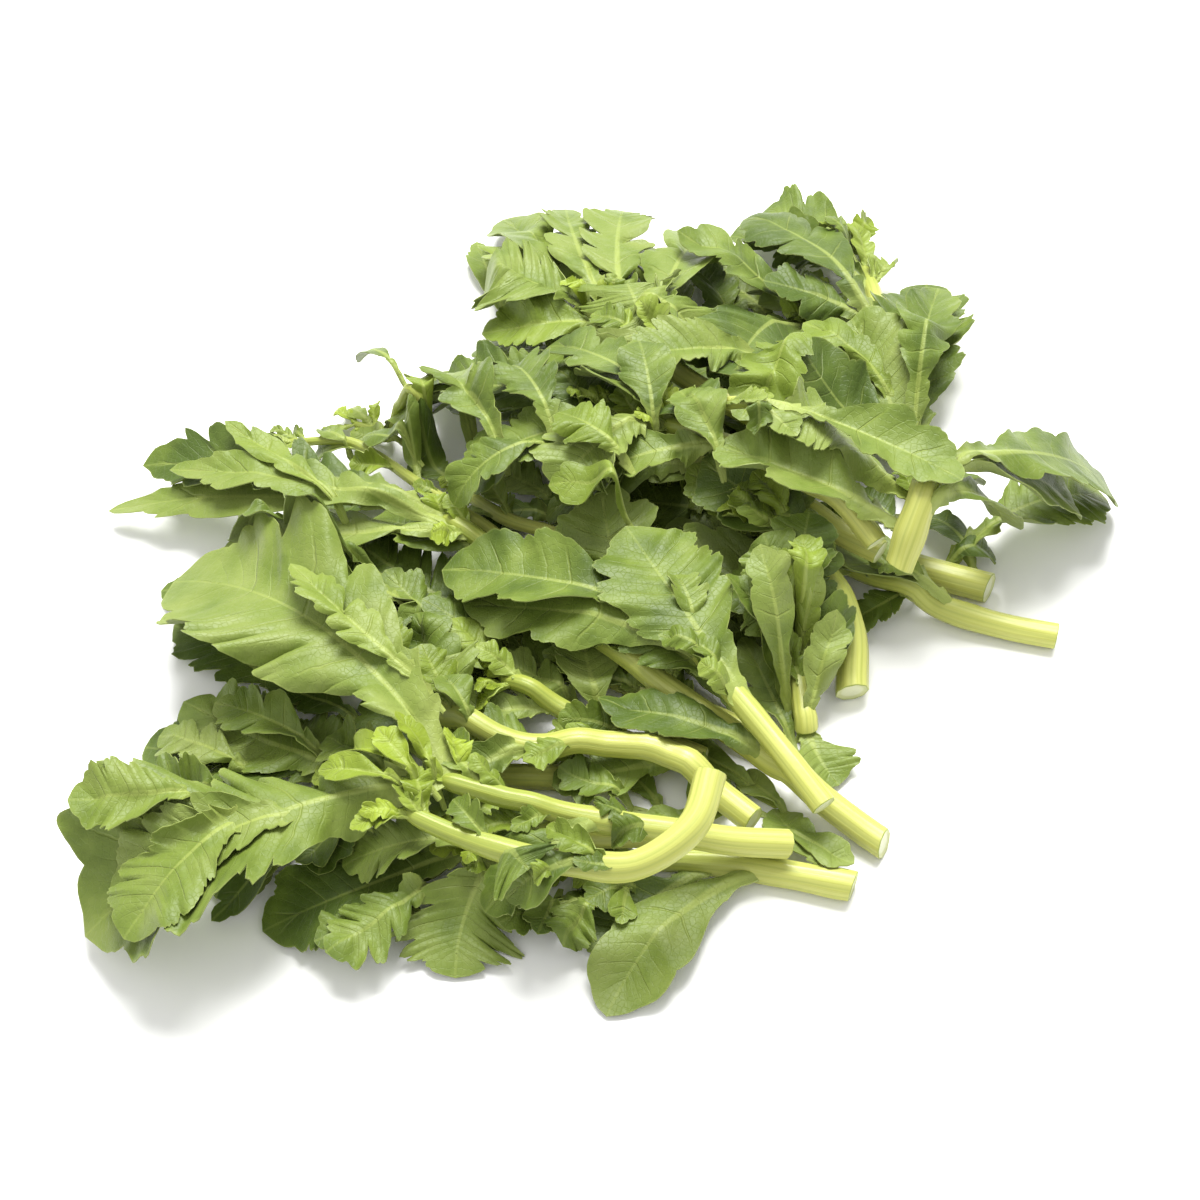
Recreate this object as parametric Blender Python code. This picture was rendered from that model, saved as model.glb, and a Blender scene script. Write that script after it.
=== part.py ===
# Chrysanthemum greens: cut leafy shoots that lie in one loose heap on a table.
#
# Each shoot is one solid: a stem with its leaves grown into it. The shoots are laid one after
# another, from the table up. A relief map holds the top of the heap so far, and every stem and
# blade that is laid next bends over it, so that no two shoots cross.
# Layout sizes are in millimetres, with +X right, +Y away from the front and +Z up.

import math
from collections import namedtuple

import bmesh
import bpy
import numpy as np

METRES_PER_MM = 0.001

# Driving sizes of a shoot
STEM_SIDES = 6
STEM_STEP = 15.0
STEM_TIP_SHARE = 0.55
STEM_CLEARANCE = 0.9
STEM_FLAT = 0.1
BLADE_THICKNESS = 0.8
BLADE_CLEARANCE = 0.45
EDGE_WAVE = 0.9
ROOT_DEPTH = 2.5
GOLDEN_ANGLE = 137.5

# Share of the blade's length, from root to tip, where its side veins leave the midrib
WING_ROW = 0.15
FIRST_ROW = 0.28
LAST_ROW = 0.84
MIDRIB_SHARE = 0.84

# The relief map of the heap
CELL = 2.0
MAP_REACH = 250.0

# The middle of the laid heap's outline, which becomes the origin
HEAP_CENTRE = (4.6, 22.5)

LEAF_COLOUR = (0.178, 0.296, 0.076)
STEM_COLOUR = (0.480, 0.570, 0.160)
LEAF_ROUGHNESS = 0.6
STEM_ROUGHNESS = 0.45

# A blade. at: share of the stem's length; heading: degrees in plan; bend: degrees that the
# midrib turns by its tip; roll: degrees of twist, positive lifts the left edge; cut: depth of
# the bays between lobes; pitch: rise at the root, in degrees.
Leaf = namedtuple("Leaf", "at heading length width bend roll cut pitch")

# A blade laid by hand: tip is where its end lies in plan.
Placed = namedtuple("Placed", "at tip width bend roll cut pitch")

# One shoot. stem: plan points from the cut end to the tip; radius at the cut end;
# lift: how far the cut end is held up; tip_lift: how far the tip is held up;
# leaves: how many grow by rule, with length; spread: how far they open; placed: by hand.
Shoot = namedtuple("Shoot", "name stem radius lift tip_lift leaves length spread placed")

SHOOTS = [
    Shoot("shoot_01_front_floor", [(80, -122), (32, -112), (-13, -112)], 4.6, 0, 0, 3, 58, 50, [
        Placed(0.30, (4, -165), 29, 48, 0, 0.14, 0),
        Placed(0.06, (57, -91), 17, -20, 10, 0.25, 6),
    ]),
    Shoot("shoot_02_back_floor", [(136, 1), (99, 16), (36, 51)], 5.4, 0, 0, 4, 80, 48, [
        Placed(0.80, (21, 142), 54, -30, 0, 0.30, 6),
        Placed(0.94, (-10, 138), 50, -24, 0, 0.30, 6),
        Placed(1.00, (-38, 113), 46, -12, 4, 0.24, 6),
        Placed(0.92, (-63, 98), 42, 20, 0, 0.34, 4),
    ]),
    Shoot("shoot_03_middle_floor", [(59, -68), (17, -44), (-33, -20)], 4.8, 0, 0, 3, 78, 52, [
        Placed(1.00, (-116, 10), 38, 6, 0, 0.36, 6),
        Placed(0.96, (-90, 20), 38, -14, 0, 0.36, 6),
    ]),
    Shoot("shoot_04_front_left", [(18, -107), (-13, -109), (-37, -112)], 4.4, 0, 0, 2, 66, 46, [
        Placed(0.94, (-103, -136), 40, 10, 4, 0.26, 4),
        Placed(0.88, (-44, -152), 42, 40, -4, 0.44, 4),
    ]),
    Shoot("shoot_05_left_fill", [(-3, -80), (-54, -78), (-81, -80)], 4.4, 0, 0, 2, 62, 46, [
        Placed(0.92, (-105, -56), 34, -30, 0, 0.36, 6),
        Placed(1.00, (-149, -66), 36, -10, 0, 0.42, 8),
        Placed(0.96, (-137, -53), 38, -24, 0, 0.40, 8),
        Placed(1.00, (-120, -123), 24, 24, 0, 0.44, 4),
        Placed(0.90, (-88, -120), 24, 30, 0, 0.44, 4),
    ]),
    Shoot("shoot_06_middle_fill", [(34, -77), (0, -63), (-34, -46)], 4.2, 0, 0, 3, 56, 54, [
        Placed(0.08, (-14, -86), 25, 6, 0, 0.40, 6),
    ]),
    Shoot("shoot_07_back_right", [(157, -20), (130, -13), (104, -2), (60, 23)], 4.5, 0, 0, 3, 80, 42, [
        Placed(0.30, (62, 25), 32, -8, 22, 0.22, 12),
    ]),
    Shoot("shoot_08_back_left", [(96, 0), (73, 14), (26, 48), (0, 65)], 4.4, 4, 3, 4, 78, 50, [
        Placed(0.94, (-43, 119), 44, -10, 0, 0.36, 8),
        Placed(1.00, (-63, 85), 38, 10, 0, 0.36, 8),
        Placed(0.80, (-15, 77), 40, -30, 0, 0.36, 10),
    ]),
    Shoot("shoot_09_slim_bud", [(14, 2), (-28, 24), (-52, 49), (-73, 72), (-93, 83)],
          2.7, 0, 3, 5, 28, 48, []),
    Shoot("shoot_10_slim_side", [(20, -25), (-28, 11), (-60, 40), (-91, 66), (-126, 71)],
          2.5, 0, 3, 4, 24, 44, []),
    Shoot("shoot_11_right_foot", [(85, -45), (85, -25), (76, -8), (56, 11)], 5.6, 0, 3, 3, 70, 52, [
        Placed(0.50, (37, 34), 34, 10, -20, 0.20, 14),
    ]),
    Shoot("shoot_12_front_long",
          [(49, -101), (21, -79), (-8, -75), (-32, -75), (-59, -54), (-96, -15)],
          4.6, 0, 2, 4, 62, 44, [
        Placed(0.62, (-53, -42), 27, 10, 16, 0.16, 34),
        Placed(0.80, (-77, -25), 30, -20, 20, 0.24, 34),
        Placed(0.98, (-152, 1), 26, 8, 0, 0.30, 8),
    ]),
    Shoot("shoot_13_side_cluster", [(69, -59), (67, -44), (65, -30)], 3.6, 0, 4, 1, 46, 40, [
        Placed(0.10, (78, -80), 24, 30, 0, 0.24, 2),
        Placed(0.90, (83, -34), 24, -30, 0, 0.20, 16),
        Placed(1.00, (69, -8), 28, -8, -16, 0.24, 22),
        Placed(0.95, (56, -10), 26, 0, 14, 0.24, 26),
        Placed(0.85, (48, -29), 22, 20, 20, 0.26, 26),
    ]),
    Shoot("shoot_14_straight", [(91, -106), (13, -43), (-41, 9), (-56, 20)], 4.8, 0, 6, 2, 72, 40, [
        Placed(0.93, (-131, 17), 26, -6, 0, 0.44, 4),
        Placed(0.97, (-172, 36), 20, 10, 14, 0.42, 4),
        Placed(1.00, (-162, 54), 33, 8, -8, 0.30, 4),
        Placed(0.22, (1, -59), 26, 6, 30, 0.22, 14),
    ]),
    Shoot("shoot_15_crossing", [(71, -101), (43, -60), (17, -23)], 4.2, 4, 6, 2, 60, 50, [
        Placed(0.70, (-44, -16), 30, 4, -12, 0.22, 4),
        Placed(0.86, (-52, -3), 37, 6, -4, 0.22, 6),
        Placed(0.42, (10, 3), 48, -8, 6, 0.30, 14),
    ]),
    Shoot("shoot_16_back_top", [(57, 56), (29, 81), (0, 123)], 4.2, 6, 4, 2, 70, 54, [
        Placed(1.00, (-38, 195), 30, -10, 0, 0.26, 12),
        Placed(0.92, (-13, 195), 26, -20, 0, 0.36, 12),
        Placed(0.80, (11, 196), 34, -20, 0, 0.42, 14),
        Placed(0.60, (45, 181), 32, -20, 0, 0.40, 14),
        Placed(0.98, (-44, 138), 46, 8, 4, 0.40, 12),
        Placed(0.62, (10, 124), 44, 0, 8, 0.36, 20),
        Placed(0.46, (10, 102), 52, 10, 0, 0.40, 20),
        Placed(0.90, (55, 85), 34, -30, 0, 0.34, 20),
    ]),
    Shoot("shoot_17_top_right", [(113, 88), (102, 112), (85, 131)], 4.0, 4, 6, 3, 56, 58, [
        Placed(0.20, (77, 111), 50, -10, 0, 0.20, 10),
        Placed(0.90, (68, 156), 34, 10, 0, 0.44, 20),
        Placed(1.00, (50, 70), 44, 60, 0, 0.28, 24),
        Placed(1.00, (30, 152), 30, 10, 0, 0.36, 16),
    ]),
    Shoot("shoot_18_back_corner", [(105, 114), (106, 146), (101, 175)], 3.8, 4, 4, 2, 50, 54, [
        Placed(0.96, (66, 201), 34, 30, 0, 0.40, 16),
        Placed(0.80, (53, 180), 32, 24, 0, 0.36, 14),
        Placed(0.15, (63, 135), 26, 20, 0, 0.40, 16),
        Placed(0.05, (56, 180), 34, 34, 0, 0.40, 18),
    ]),
    Shoot("shoot_19_top_crown", [(93, -7), (68, 16), (21, 50)], 4.0, 2, 4, 1, 56, 50, [
        Placed(0.70, (29, 59), 32, -10, -10, 0.20, 16),
        Placed(0.96, (-54, 33), 34, 10, 4, 0.34, 16),
        Placed(0.96, (1, 77), 34, -20, 16, 0.18, 34),
        Placed(1.00, (-14, 16), 38, 30, 0, 0.36, 26),
        Placed(1.00, (-19, 95), 28, 10, 0, 0.40, 20),
    ]),
    Shoot("shoot_20_front_top", [(59, -112), (31, -113), (-13, -108), (-51, -98)], 4.7, 0, 8, 2, 50, 40, [
        Placed(0.97, (-146, -8), 72, 34, 4, 0.30, 18),
        Placed(1.00, (-158, -142), 70, 14, 0, 0.30, 14),
    ]),
    Shoot("shoot_21_bent_foot", [(34, -109), (30, -122), (15, -136), (-28, -128), (-61, -113)],
          4.9, 18, 0, 0, 54, 40, [
        Placed(0.42, (-3, -136), 18, 10, 0, 0.36, -10),
        Placed(0.72, (-22, -138), 26, 20, 0, 0.20, -10),
    ]),
    Shoot("shoot_22_right_upright", [(100, -17), (110, 7), (114, 57)], 4.8, 6, 4, 2, 50, 60, [
        Placed(0.10, (142, 21), 18, 20, 0, 0.20, -10),
        Placed(0.28, (166, 27), 28, -20, 0, 0.24, -4),
        Placed(0.28, (185, 42), 36, -14, 6, 0.24, 0),
        Placed(0.95, (127, 149), 42, -6, -6, 0.42, 10),
        Placed(0.92, (95, 114), 40, 10, 0, 0.24, 4),
        Placed(0.12, (42, 27), 36, -4, 8, 0.28, 10),
        Placed(0.60, (60, 30), 42, 24, -6, 0.18, 14),
        Placed(0.95, (70, 83), 36, 10, 0, 0.20, 14),
    ]),
    Shoot("shoot_23_right_twig", [(33, 46), (47, 41), (60, 35)], 2.6, 0, 0, 1, 30, 50, [
        Placed(1.00, (117, -2), 27, -14, 0, 0.24, 12),
    ]),
]


class Relief:
    # Height of the heap so far, on a square grid over the table.
    def __init__(self):
        self.count = int(2 * MAP_REACH / CELL) + 1
        self.top = np.zeros((self.count, self.count))
        self.spread = self.top.copy()

    def cells(self, x, y):
        column = np.clip(np.rint((x + MAP_REACH) / CELL).astype(int), 0, self.count - 1)
        row = np.clip(np.rint((y + MAP_REACH) / CELL).astype(int), 0, self.count - 1)
        return column, row

    def under(self, x, y):
        # Highest point of the heap within one cell of each place
        return self.spread[self.cells(x, y)]

    def cover(self, points):
        np.maximum.at(self.top, self.cells(points[:, 0], points[:, 1]), points[:, 2])
        self.widen()

    def cover_with(self, other):
        self.top = np.maximum(self.top, other.top)
        self.widen()

    def widen(self):
        padded = np.pad(self.top, 1, mode="edge")
        shifts = [padded[i:i + self.count, j:j + self.count] for i in range(3) for j in range(3)]
        self.spread = np.max(shifts, axis=0)


def rounded_path(points, step):
    # An even walk along a smooth curve through the points (Catmull-Rom)
    p = np.array(points, float)
    p = np.vstack([2 * p[0] - p[1], p, 2 * p[-1] - p[-2]])
    t = np.linspace(0, 1, 24, endpoint=False)[:, None]
    spans = [
        0.5 * (2 * b + (c - a) * t + (2 * a - 5 * b + 4 * c - d) * t**2 + (3 * b - a - 3 * c + d) * t**3)
        for a, b, c, d in zip(p[:-3], p[1:-2], p[2:-1], p[3:])
    ]
    curve = np.vstack([*spans, p[-2:-1]])
    run = np.concatenate([[0], np.cumsum(np.linalg.norm(np.diff(curve, axis=0), axis=1))])
    count = max(4, int(round(run[-1] / step)) + 1)
    even = np.linspace(0, run[-1], count)
    return np.column_stack([np.interp(even, run, curve[:, 0]), np.interp(even, run, curve[:, 1])])


def lay_stem(shoot, relief):
    # The stem's centre line, pulled taut over what lies under it, and its radius along it
    fine = rounded_path(shoot.stem, 3.0)
    share = np.linspace(0, 1, len(fine))
    radius = shoot.radius * (1 - (1 - STEM_TIP_SHARE) * share**1.6)
    along = np.gradient(fine, axis=0)
    across = np.column_stack([-along[:, 1], along[:, 0]]) / np.linalg.norm(along, axis=1)[:, None]
    floor = radius * math.cos(math.pi / STEM_SIDES) - STEM_FLAT
    for offset in np.linspace(-1.4, 1.4, 9):
        spot = fine + across * (offset * radius)[:, None]
        under = relief.under(spot[:, 0], spot[:, 1])
        needed = under + STEM_CLEARANCE + radius * math.sqrt(max(0.0, 1 - offset**2))
        floor = np.maximum(floor, np.where(under > 0, needed, 0))
    held = shoot.lift * np.exp(-(share / 0.22) ** 2) + shoot.tip_lift * share**2
    height = floor + held
    for _ in range(400):
        height[1:-1] = np.maximum(floor[1:-1] + held[1:-1], (height[:-2] + height[2:]) / 2 - 0.01)
    count = max(4, int(len(fine) * 3 / STEM_STEP))
    keep = np.unique(np.rint(np.linspace(0, len(fine) - 1, count)).astype(int))
    # The few rings that are kept are raised until the straight runs between them clear the heap
    kept = height[keep].copy()
    span = np.clip(np.searchsorted(keep, np.arange(len(fine)), side="right") - 1, 0, len(keep) - 2)
    part = (np.arange(len(fine)) - keep[span]) / (keep[span + 1] - keep[span])
    for _ in range(30):
        lack = np.maximum(floor - (kept[span] * (1 - part) + kept[span + 1] * part), 0.0)
        push = np.zeros(len(kept))
        share = (1 - part) ** 2 + part**2
        np.maximum.at(push, span, lack * (1 - part) / share)
        np.maximum.at(push, span + 1, lack * part / share)
        kept += push
    return np.column_stack([fine[keep], kept]), radius[keep]


def sweep(centre, radius):
    # Rings round the centre line, upright, with the lowest facets pressed flat on the table
    along = np.gradient(centre, axis=0)
    along /= np.linalg.norm(along, axis=1)[:, None]
    side = np.cross(along, [0.0, 0.0, 1.0])
    side /= np.linalg.norm(side, axis=1)[:, None]
    up = np.cross(side, along)
    turn = np.arange(STEM_SIDES) * 2 * math.pi / STEM_SIDES
    ring = np.einsum("k,nc->nkc", np.cos(turn), side) + np.einsum("k,nc->nkc", np.sin(turn), up)
    points = (centre[:, None, :] + ring * radius[:, None, None]).reshape(-1, 3)
    points[:, 2] = np.maximum(points[:, 2], 0.0)
    faces = []
    for row in range(len(centre) - 1):
        for k in range(STEM_SIDES):
            a = row * STEM_SIDES + k
            b = row * STEM_SIDES + (k + 1) % STEM_SIDES
            faces.append((a, a + STEM_SIDES, b + STEM_SIDES, b))
    faces.append(tuple(range(STEM_SIDES)))
    last = (len(centre) - 1) * STEM_SIDES
    faces.append(tuple(range(last + STEM_SIDES - 1, last - 1, -1)))
    return points, faces


def blade_rows(leaf, lobes):
    # Rows along the side veins: where each leaves the midrib, where it ends, and how far out.
    # Rows alternate between bays and lobe tips, and the last row is the blade's own tip.
    veins = np.linspace(FIRST_ROW, LAST_ROW, 2 * lobes)
    rows = np.concatenate([[0.0, WING_ROW], veins, [1.0]])
    reach = np.concatenate([[1.0, 1.0], np.tile([1 - leaf.cut, 1.0], lobes), [1.0]])
    open_out = np.clip((rows - 0.10) / 0.45, 0, 1)
    open_out = open_out**2 * (3 - 2 * open_out)
    close_in = np.clip(1 - np.clip((rows - 0.62) / 0.38, 0, 1) ** 2.4, 0, 1) ** 0.6
    half = leaf.width / 2 * (0.16 + 0.84 * open_out) * close_in
    forward = 0.55 * half * (1 - rows**4) + (1 - MIDRIB_SHARE) * leaf.length * rows**4
    middle = leaf.length * rows * (1 - (1 - MIDRIB_SHARE) * rows)
    return middle, middle + forward * reach, half * reach


def blade_frame(leaf, root, end_pitch):
    # The midrib in space, by adding up short steps whose heading and pitch change steadily,
    # with the blade's sideways and upward directions along it
    run = np.linspace(-ROOT_DEPTH, leaf.length, 40)
    share = np.clip(run / leaf.length, 0, 1)
    heading = np.radians(leaf.heading + leaf.bend * share)
    pitch = np.radians(leaf.pitch + (end_pitch - leaf.pitch) * share**1.2)
    roll = np.radians(leaf.roll * share)
    level_run = np.cos(pitch)
    along = np.column_stack([level_run * np.cos(heading), level_run * np.sin(heading), np.sin(pitch)])
    level = np.column_stack([-np.sin(heading), np.cos(heading), np.zeros_like(run)])
    above = np.cross(along, level)
    step = run[1] - run[0]
    line = np.concatenate([[np.zeros(3)], np.cumsum((along[1:] + along[:-1]) / 2 * step, axis=0)])
    line += np.array(root) - ROOT_DEPTH * along[0]
    side = level * np.cos(roll)[:, None] + above * np.sin(roll)[:, None]
    upward = np.cross(along, side)
    return run, line, side, upward


def on_frame(frame, a, b, cup):
    # A point a along and b across the flat blade, on the bent one; cup is curl per millimetre
    run, line, side, upward = frame
    at = [np.column_stack([np.interp(a, run, v[:, k]) for k in range(3)]) for v in (line, side, upward)]
    out = np.sin(cup * b) / cup
    rise = (1 - np.cos(cup * b)) / cup
    return at[0] + at[1] * out[:, None] + at[2] * rise[:, None]


def settled_pitch(leaf, root, heap, float_deg):
    # The end pitch at which the tip just comes down on the heap
    low, high = -78.0, 30.0
    for _ in range(9):
        middle = (low + high) / 2
        tip = blade_frame(leaf, root, middle)[1][-1]
        over = tip[2] - heap.under(tip[0], tip[1]) - BLADE_CLEARANCE - BLADE_THICKNESS / 2
        low, high = (low, middle) if over > 0 else (middle, high)
    return (low + high) / 2 + float_deg


def blade_cells(rows):
    # Triangles of the blade's upper face. Points: midrib 0..rows-1, left edge, then right edge
    # without its last point, because both edges end in the one tip.
    last = rows - 1
    left = [rows + k for k in range(rows)]
    right = [2 * rows + k for k in range(last)] + [left[last]]
    triangles = []
    for k in range(last - 1):
        triangles += [(k, k + 1, left[k + 1]), (k, left[k + 1], left[k])]
        triangles += [(k, right[k + 1], k + 1), (k, right[k], right[k + 1])]
    triangles += [(last - 1, last, left[last - 1]), (last, left[last], left[last - 1])]
    triangles += [(last - 1, right[last - 1], last), (last, right[last - 1], left[last])]
    border = [right[0], *right[1:last], left[last], *left[last - 1::-1], 0]
    return np.array(triangles), border


def spread_weights(points, triangles, spacing):
    # Weights of corners that spread points over a triangle as big as the biggest one
    corners = points[triangles]
    size = np.max(np.linalg.norm(corners - np.roll(corners, 1, axis=1), axis=2))
    n = max(2, int(math.ceil(size / spacing)))
    i, j = np.meshgrid(np.arange(n + 1), np.arange(n + 1), indexing="ij")
    inside = (i + j) <= n
    return np.column_stack([i[inside], j[inside], n - i[inside] - j[inside]]) / n


def over_triangles(weights, points, triangles):
    return np.einsum("sw,twc->tsc", weights, points[triangles])


def lay_blade(leaf, root, root_radius, heap, own, lobes, cup, ease):
    # The blade's points after it has come down on the heap and on its own shoot, how far it
    # had to be lifted, and its triangles and border
    frame = blade_frame(leaf, root, settled_pitch(leaf, root, heap, 8 * ease))
    middle, edge, half = blade_rows(leaf, lobes)
    rows = len(middle)
    half[0] = min(half[0], 0.6 * root_radius)
    a = np.concatenate([[-ROOT_DEPTH], middle[1:], [-ROOT_DEPTH], edge[1:], [-ROOT_DEPTH], edge[1:-1]])
    b = np.concatenate([np.zeros(rows), half, -half[:-1]])
    points = on_frame(frame, a, b, cup)
    points[rows:, 2] += EDGE_WAVE * ease * np.resize([1, -1], len(points) - rows) * (np.abs(b[rows:]) > 6)
    triangles, border = blade_cells(rows)
    weights = spread_weights(points, triangles, 3.0)
    # How far each sample is from the root, for the shoot's own stem to give way there
    away = np.clip((np.einsum("sw,tw->ts", weights, a[triangles]) - 8.0) / 20.0, 0.0, 1.0)
    free = np.ones(len(points))
    free[[0, rows, 2 * rows]] = 0.0
    share = np.einsum("sw,tw->ts", weights**2, free[triangles])
    columns = np.array([range(rows), range(rows, 2 * rows), [*range(2 * rows, 3 * rows - 1), 2 * rows - 1]])
    start = points[:, 2].copy()
    for turn in range(36):
        if turn % 6 == 5 and turn < 30:
            lift = (points[:, 2] - start)[columns]
            lift[:, 1:-1] = 0.5 * lift[:, 1:-1] + 0.25 * (lift[:, :-2] + lift[:, 2:])
            lift[1:] = 0.7 * lift[1:] + 0.3 * lift[0]
            points[columns[::-1], 2] = start[columns[::-1]] + 0.94 * lift[::-1]
        spots = over_triangles(weights, points, triangles)
        ends = points[triangles]
        normal = np.cross(ends[:, 1] - ends[:, 0], ends[:, 2] - ends[:, 0])
        upright = np.abs(normal[:, 2]) / (np.linalg.norm(normal, axis=1) + 1e-9)
        thick = (BLADE_THICKNESS / 2 / np.maximum(upright, 0.35))[:, None]
        under = heap.under(spots[..., 0], spots[..., 1])
        own_under = own.under(spots[..., 0], spots[..., 1])
        need = np.maximum(under + np.where(under > 0, BLADE_CLEARANCE, 0.0), 0.0) + thick
        lack = need - spots[..., 2]
        own_lack = (own_under + thick - spots[..., 2]) * away
        lack = np.where(share > 0.1, np.maximum(lack, np.where(own_under > 0, own_lack, 0.0)), 0.0)
        push = np.zeros(len(points))
        for corner in range(3):
            part = np.maximum(lack, 0) * weights[None, :, corner] / np.maximum(share, 0.1)
            np.maximum.at(push, triangles[:, corner], part.max(axis=1))
        points[:, 2] += push * free
    lifted = float(np.mean(points[:, 2] - start)) + 0.5 * float(np.max(points[:, 2] - start))
    return points, lifted, triangles, border


def easiest_blade(leaf, root, *rest):
    # The blade, turned a little one way or the other where that keeps it lower
    best = None
    for turned in (0, -14, 14, -28, 28, -42, 42):
        tried = leaf._replace(heading=leaf.heading + turned)
        points, lifted, triangles, border = lay_blade(tried, root, *rest)
        cost = lifted + 0.22 * abs(turned)
        if best is None or cost < best[0]:
            best = (cost, points, triangles, border)
        if lifted < 2.0:
            break
    return best[1:]


def thicken(points, triangles):
    # The blade's upper points, then its lower points
    normal = np.zeros_like(points)
    ends = points[triangles]
    face = np.cross(ends[:, 1] - ends[:, 0], ends[:, 2] - ends[:, 0])
    for corner in range(3):
        np.add.at(normal, triangles[:, corner], face)
    normal /= np.linalg.norm(normal, axis=1)[:, None]
    half = BLADE_THICKNESS / 2
    return np.vstack([points + normal * half, points - normal * half])


def blade_mesh(points, triangles, border):
    # A closed sheet: upper face, lower face and rim, no lower than the table
    solid = thicken(points, triangles)
    n = len(points)
    solid[:, 2] = np.maximum(solid[:, 2], np.where(np.arange(2 * n) < n, BLADE_THICKNESS, 0.0))
    faces = [tuple(map(int, t)) for t in triangles]
    faces += [tuple(int(v) + n for v in t[::-1]) for t in triangles]
    for a, b in zip(border, border[1:] + border[:1]):
        faces.append((b, a, a + n))
        faces.append((b, a + n, b + n))
    return solid, faces


def grown_leaves(shoot, number, ease):
    # Leaves by rule: they turn round the stem by the golden angle. The ones on its upper half
    # lie over the stem and the ones on its lower half under it.
    random = np.random.RandomState(100 + number)
    under, over = [], []
    path = rounded_path(shoot.stem, 3.0)
    for k in range(shoot.leaves):
        at = 0.30 + 0.70 * ((k + 0.5) / shoot.leaves) ** 0.8
        spot = min(len(path) - 2, int(at * (len(path) - 1)))
        step = path[spot + 1] - path[spot]
        stem_heading = math.degrees(math.atan2(step[1], step[0]))
        turn = math.radians(40 * number + GOLDEN_ANGLE * k)
        side = math.cos(turn)
        young = max(0.0, (at - 0.72) / 0.28)
        length = shoot.length * (0.92 - 0.34 * young) * random.uniform(0.82, 1.12)
        opening = shoot.spread * (1.0 - 0.45 * at) * side + random.uniform(-9, 9)
        leaf = Leaf(
            at=at,
            heading=stem_heading + opening,
            length=length,
            width=length * random.uniform(0.46, 0.60),
            bend=random.uniform(-26, 26),
            roll=random.uniform(-26, 26) * ease,
            cut=random.uniform(0.26, 0.46),
            pitch=2 + 20 * max(0.0, math.sin(turn)) * ease,
        )
        (over if math.sin(turn) > 0 else under).append(leaf)
    return under, over[::-1]


def aimed(placed, root, heap):
    # The blade whose midrib ends at the tip's place on the heap
    east = placed.tip[0] - root[0]
    north = placed.tip[1] - root[1]
    drop = root[2] - heap.under(placed.tip[0], placed.tip[1])
    half_bend = math.radians(placed.bend) / 2
    stretch = half_bend / math.sin(half_bend) if half_bend else 1.0
    length = 1.04 * math.hypot(east, north, drop) * stretch
    heading = math.degrees(math.atan2(north, east)) - placed.bend / 2
    return Leaf(placed.at, heading, length, placed.width, placed.bend, placed.roll, placed.cut, placed.pitch)


def material(name, colour, tone, roughness):
    # tone is how much lighter or darker one shoot is than the next
    colour = [share * tone for share in colour]
    made = bpy.data.materials.new(name)
    made.use_nodes = True
    shader = made.node_tree.nodes["Principled BSDF"]
    shader.inputs["Base Color"].default_value = (*colour, 1.0)
    shader.inputs["Roughness"].default_value = roughness
    shader.inputs["Metallic"].default_value = 0.0
    made.diffuse_color = (*colour, 1.0)
    return made


def add_object(name, points, faces, materials, slot, collection):
    mesh = bpy.data.meshes.new(name)
    centred = (np.array(points) - [*HEAP_CENTRE, 0.0]) * METRES_PER_MM
    mesh.from_pydata(centred.tolist(), [], faces)
    for each in materials:
        mesh.materials.append(each)
    mesh.polygons.foreach_set("material_index", [slot] * len(mesh.polygons))
    mesh.update()
    made = bpy.data.objects.new(name, mesh)
    collection.objects.link(made)
    return made


def fill_pockets(mesh):
    # Blades that cross can close off a pocket of air. Its walls face inwards and are taken out.
    solid = bmesh.new()
    solid.from_mesh(mesh)
    unseen = set(solid.faces)
    while unseen:
        shell = {unseen.pop()}
        front = list(shell)
        while front:
            near = {other for edge in front.pop().edges for other in edge.link_faces} & unseen
            unseen -= near
            shell |= near
            front += near
        volume = sum(face.normal.dot(face.calc_center_median()) * face.calc_area() for face in shell)
        if volume < 0:
            bmesh.ops.delete(solid, geom=list({v for face in shell for v in face.verts}), context="VERTS")
    solid.to_mesh(mesh)
    solid.free()


def join(stem, blades):
    # One Boolean union grows the blades into the stem
    union = stem.modifiers.new("grown_together", "BOOLEAN")
    union.operation = "UNION"
    union.operand_type = "COLLECTION"
    union.collection = blades
    union.solver = "MANIFOLD"
    bpy.context.view_layer.update()
    whole = bpy.data.meshes.new_from_object(stem.evaluated_get(bpy.context.evaluated_depsgraph_get()))
    stem.modifiers.clear()
    fill_pockets(whole)
    stem.data = whole
    whole.name = stem.name
    for blade in list(blades.objects):
        bpy.data.objects.remove(blade)
    bpy.data.collections.remove(blades)


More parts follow.
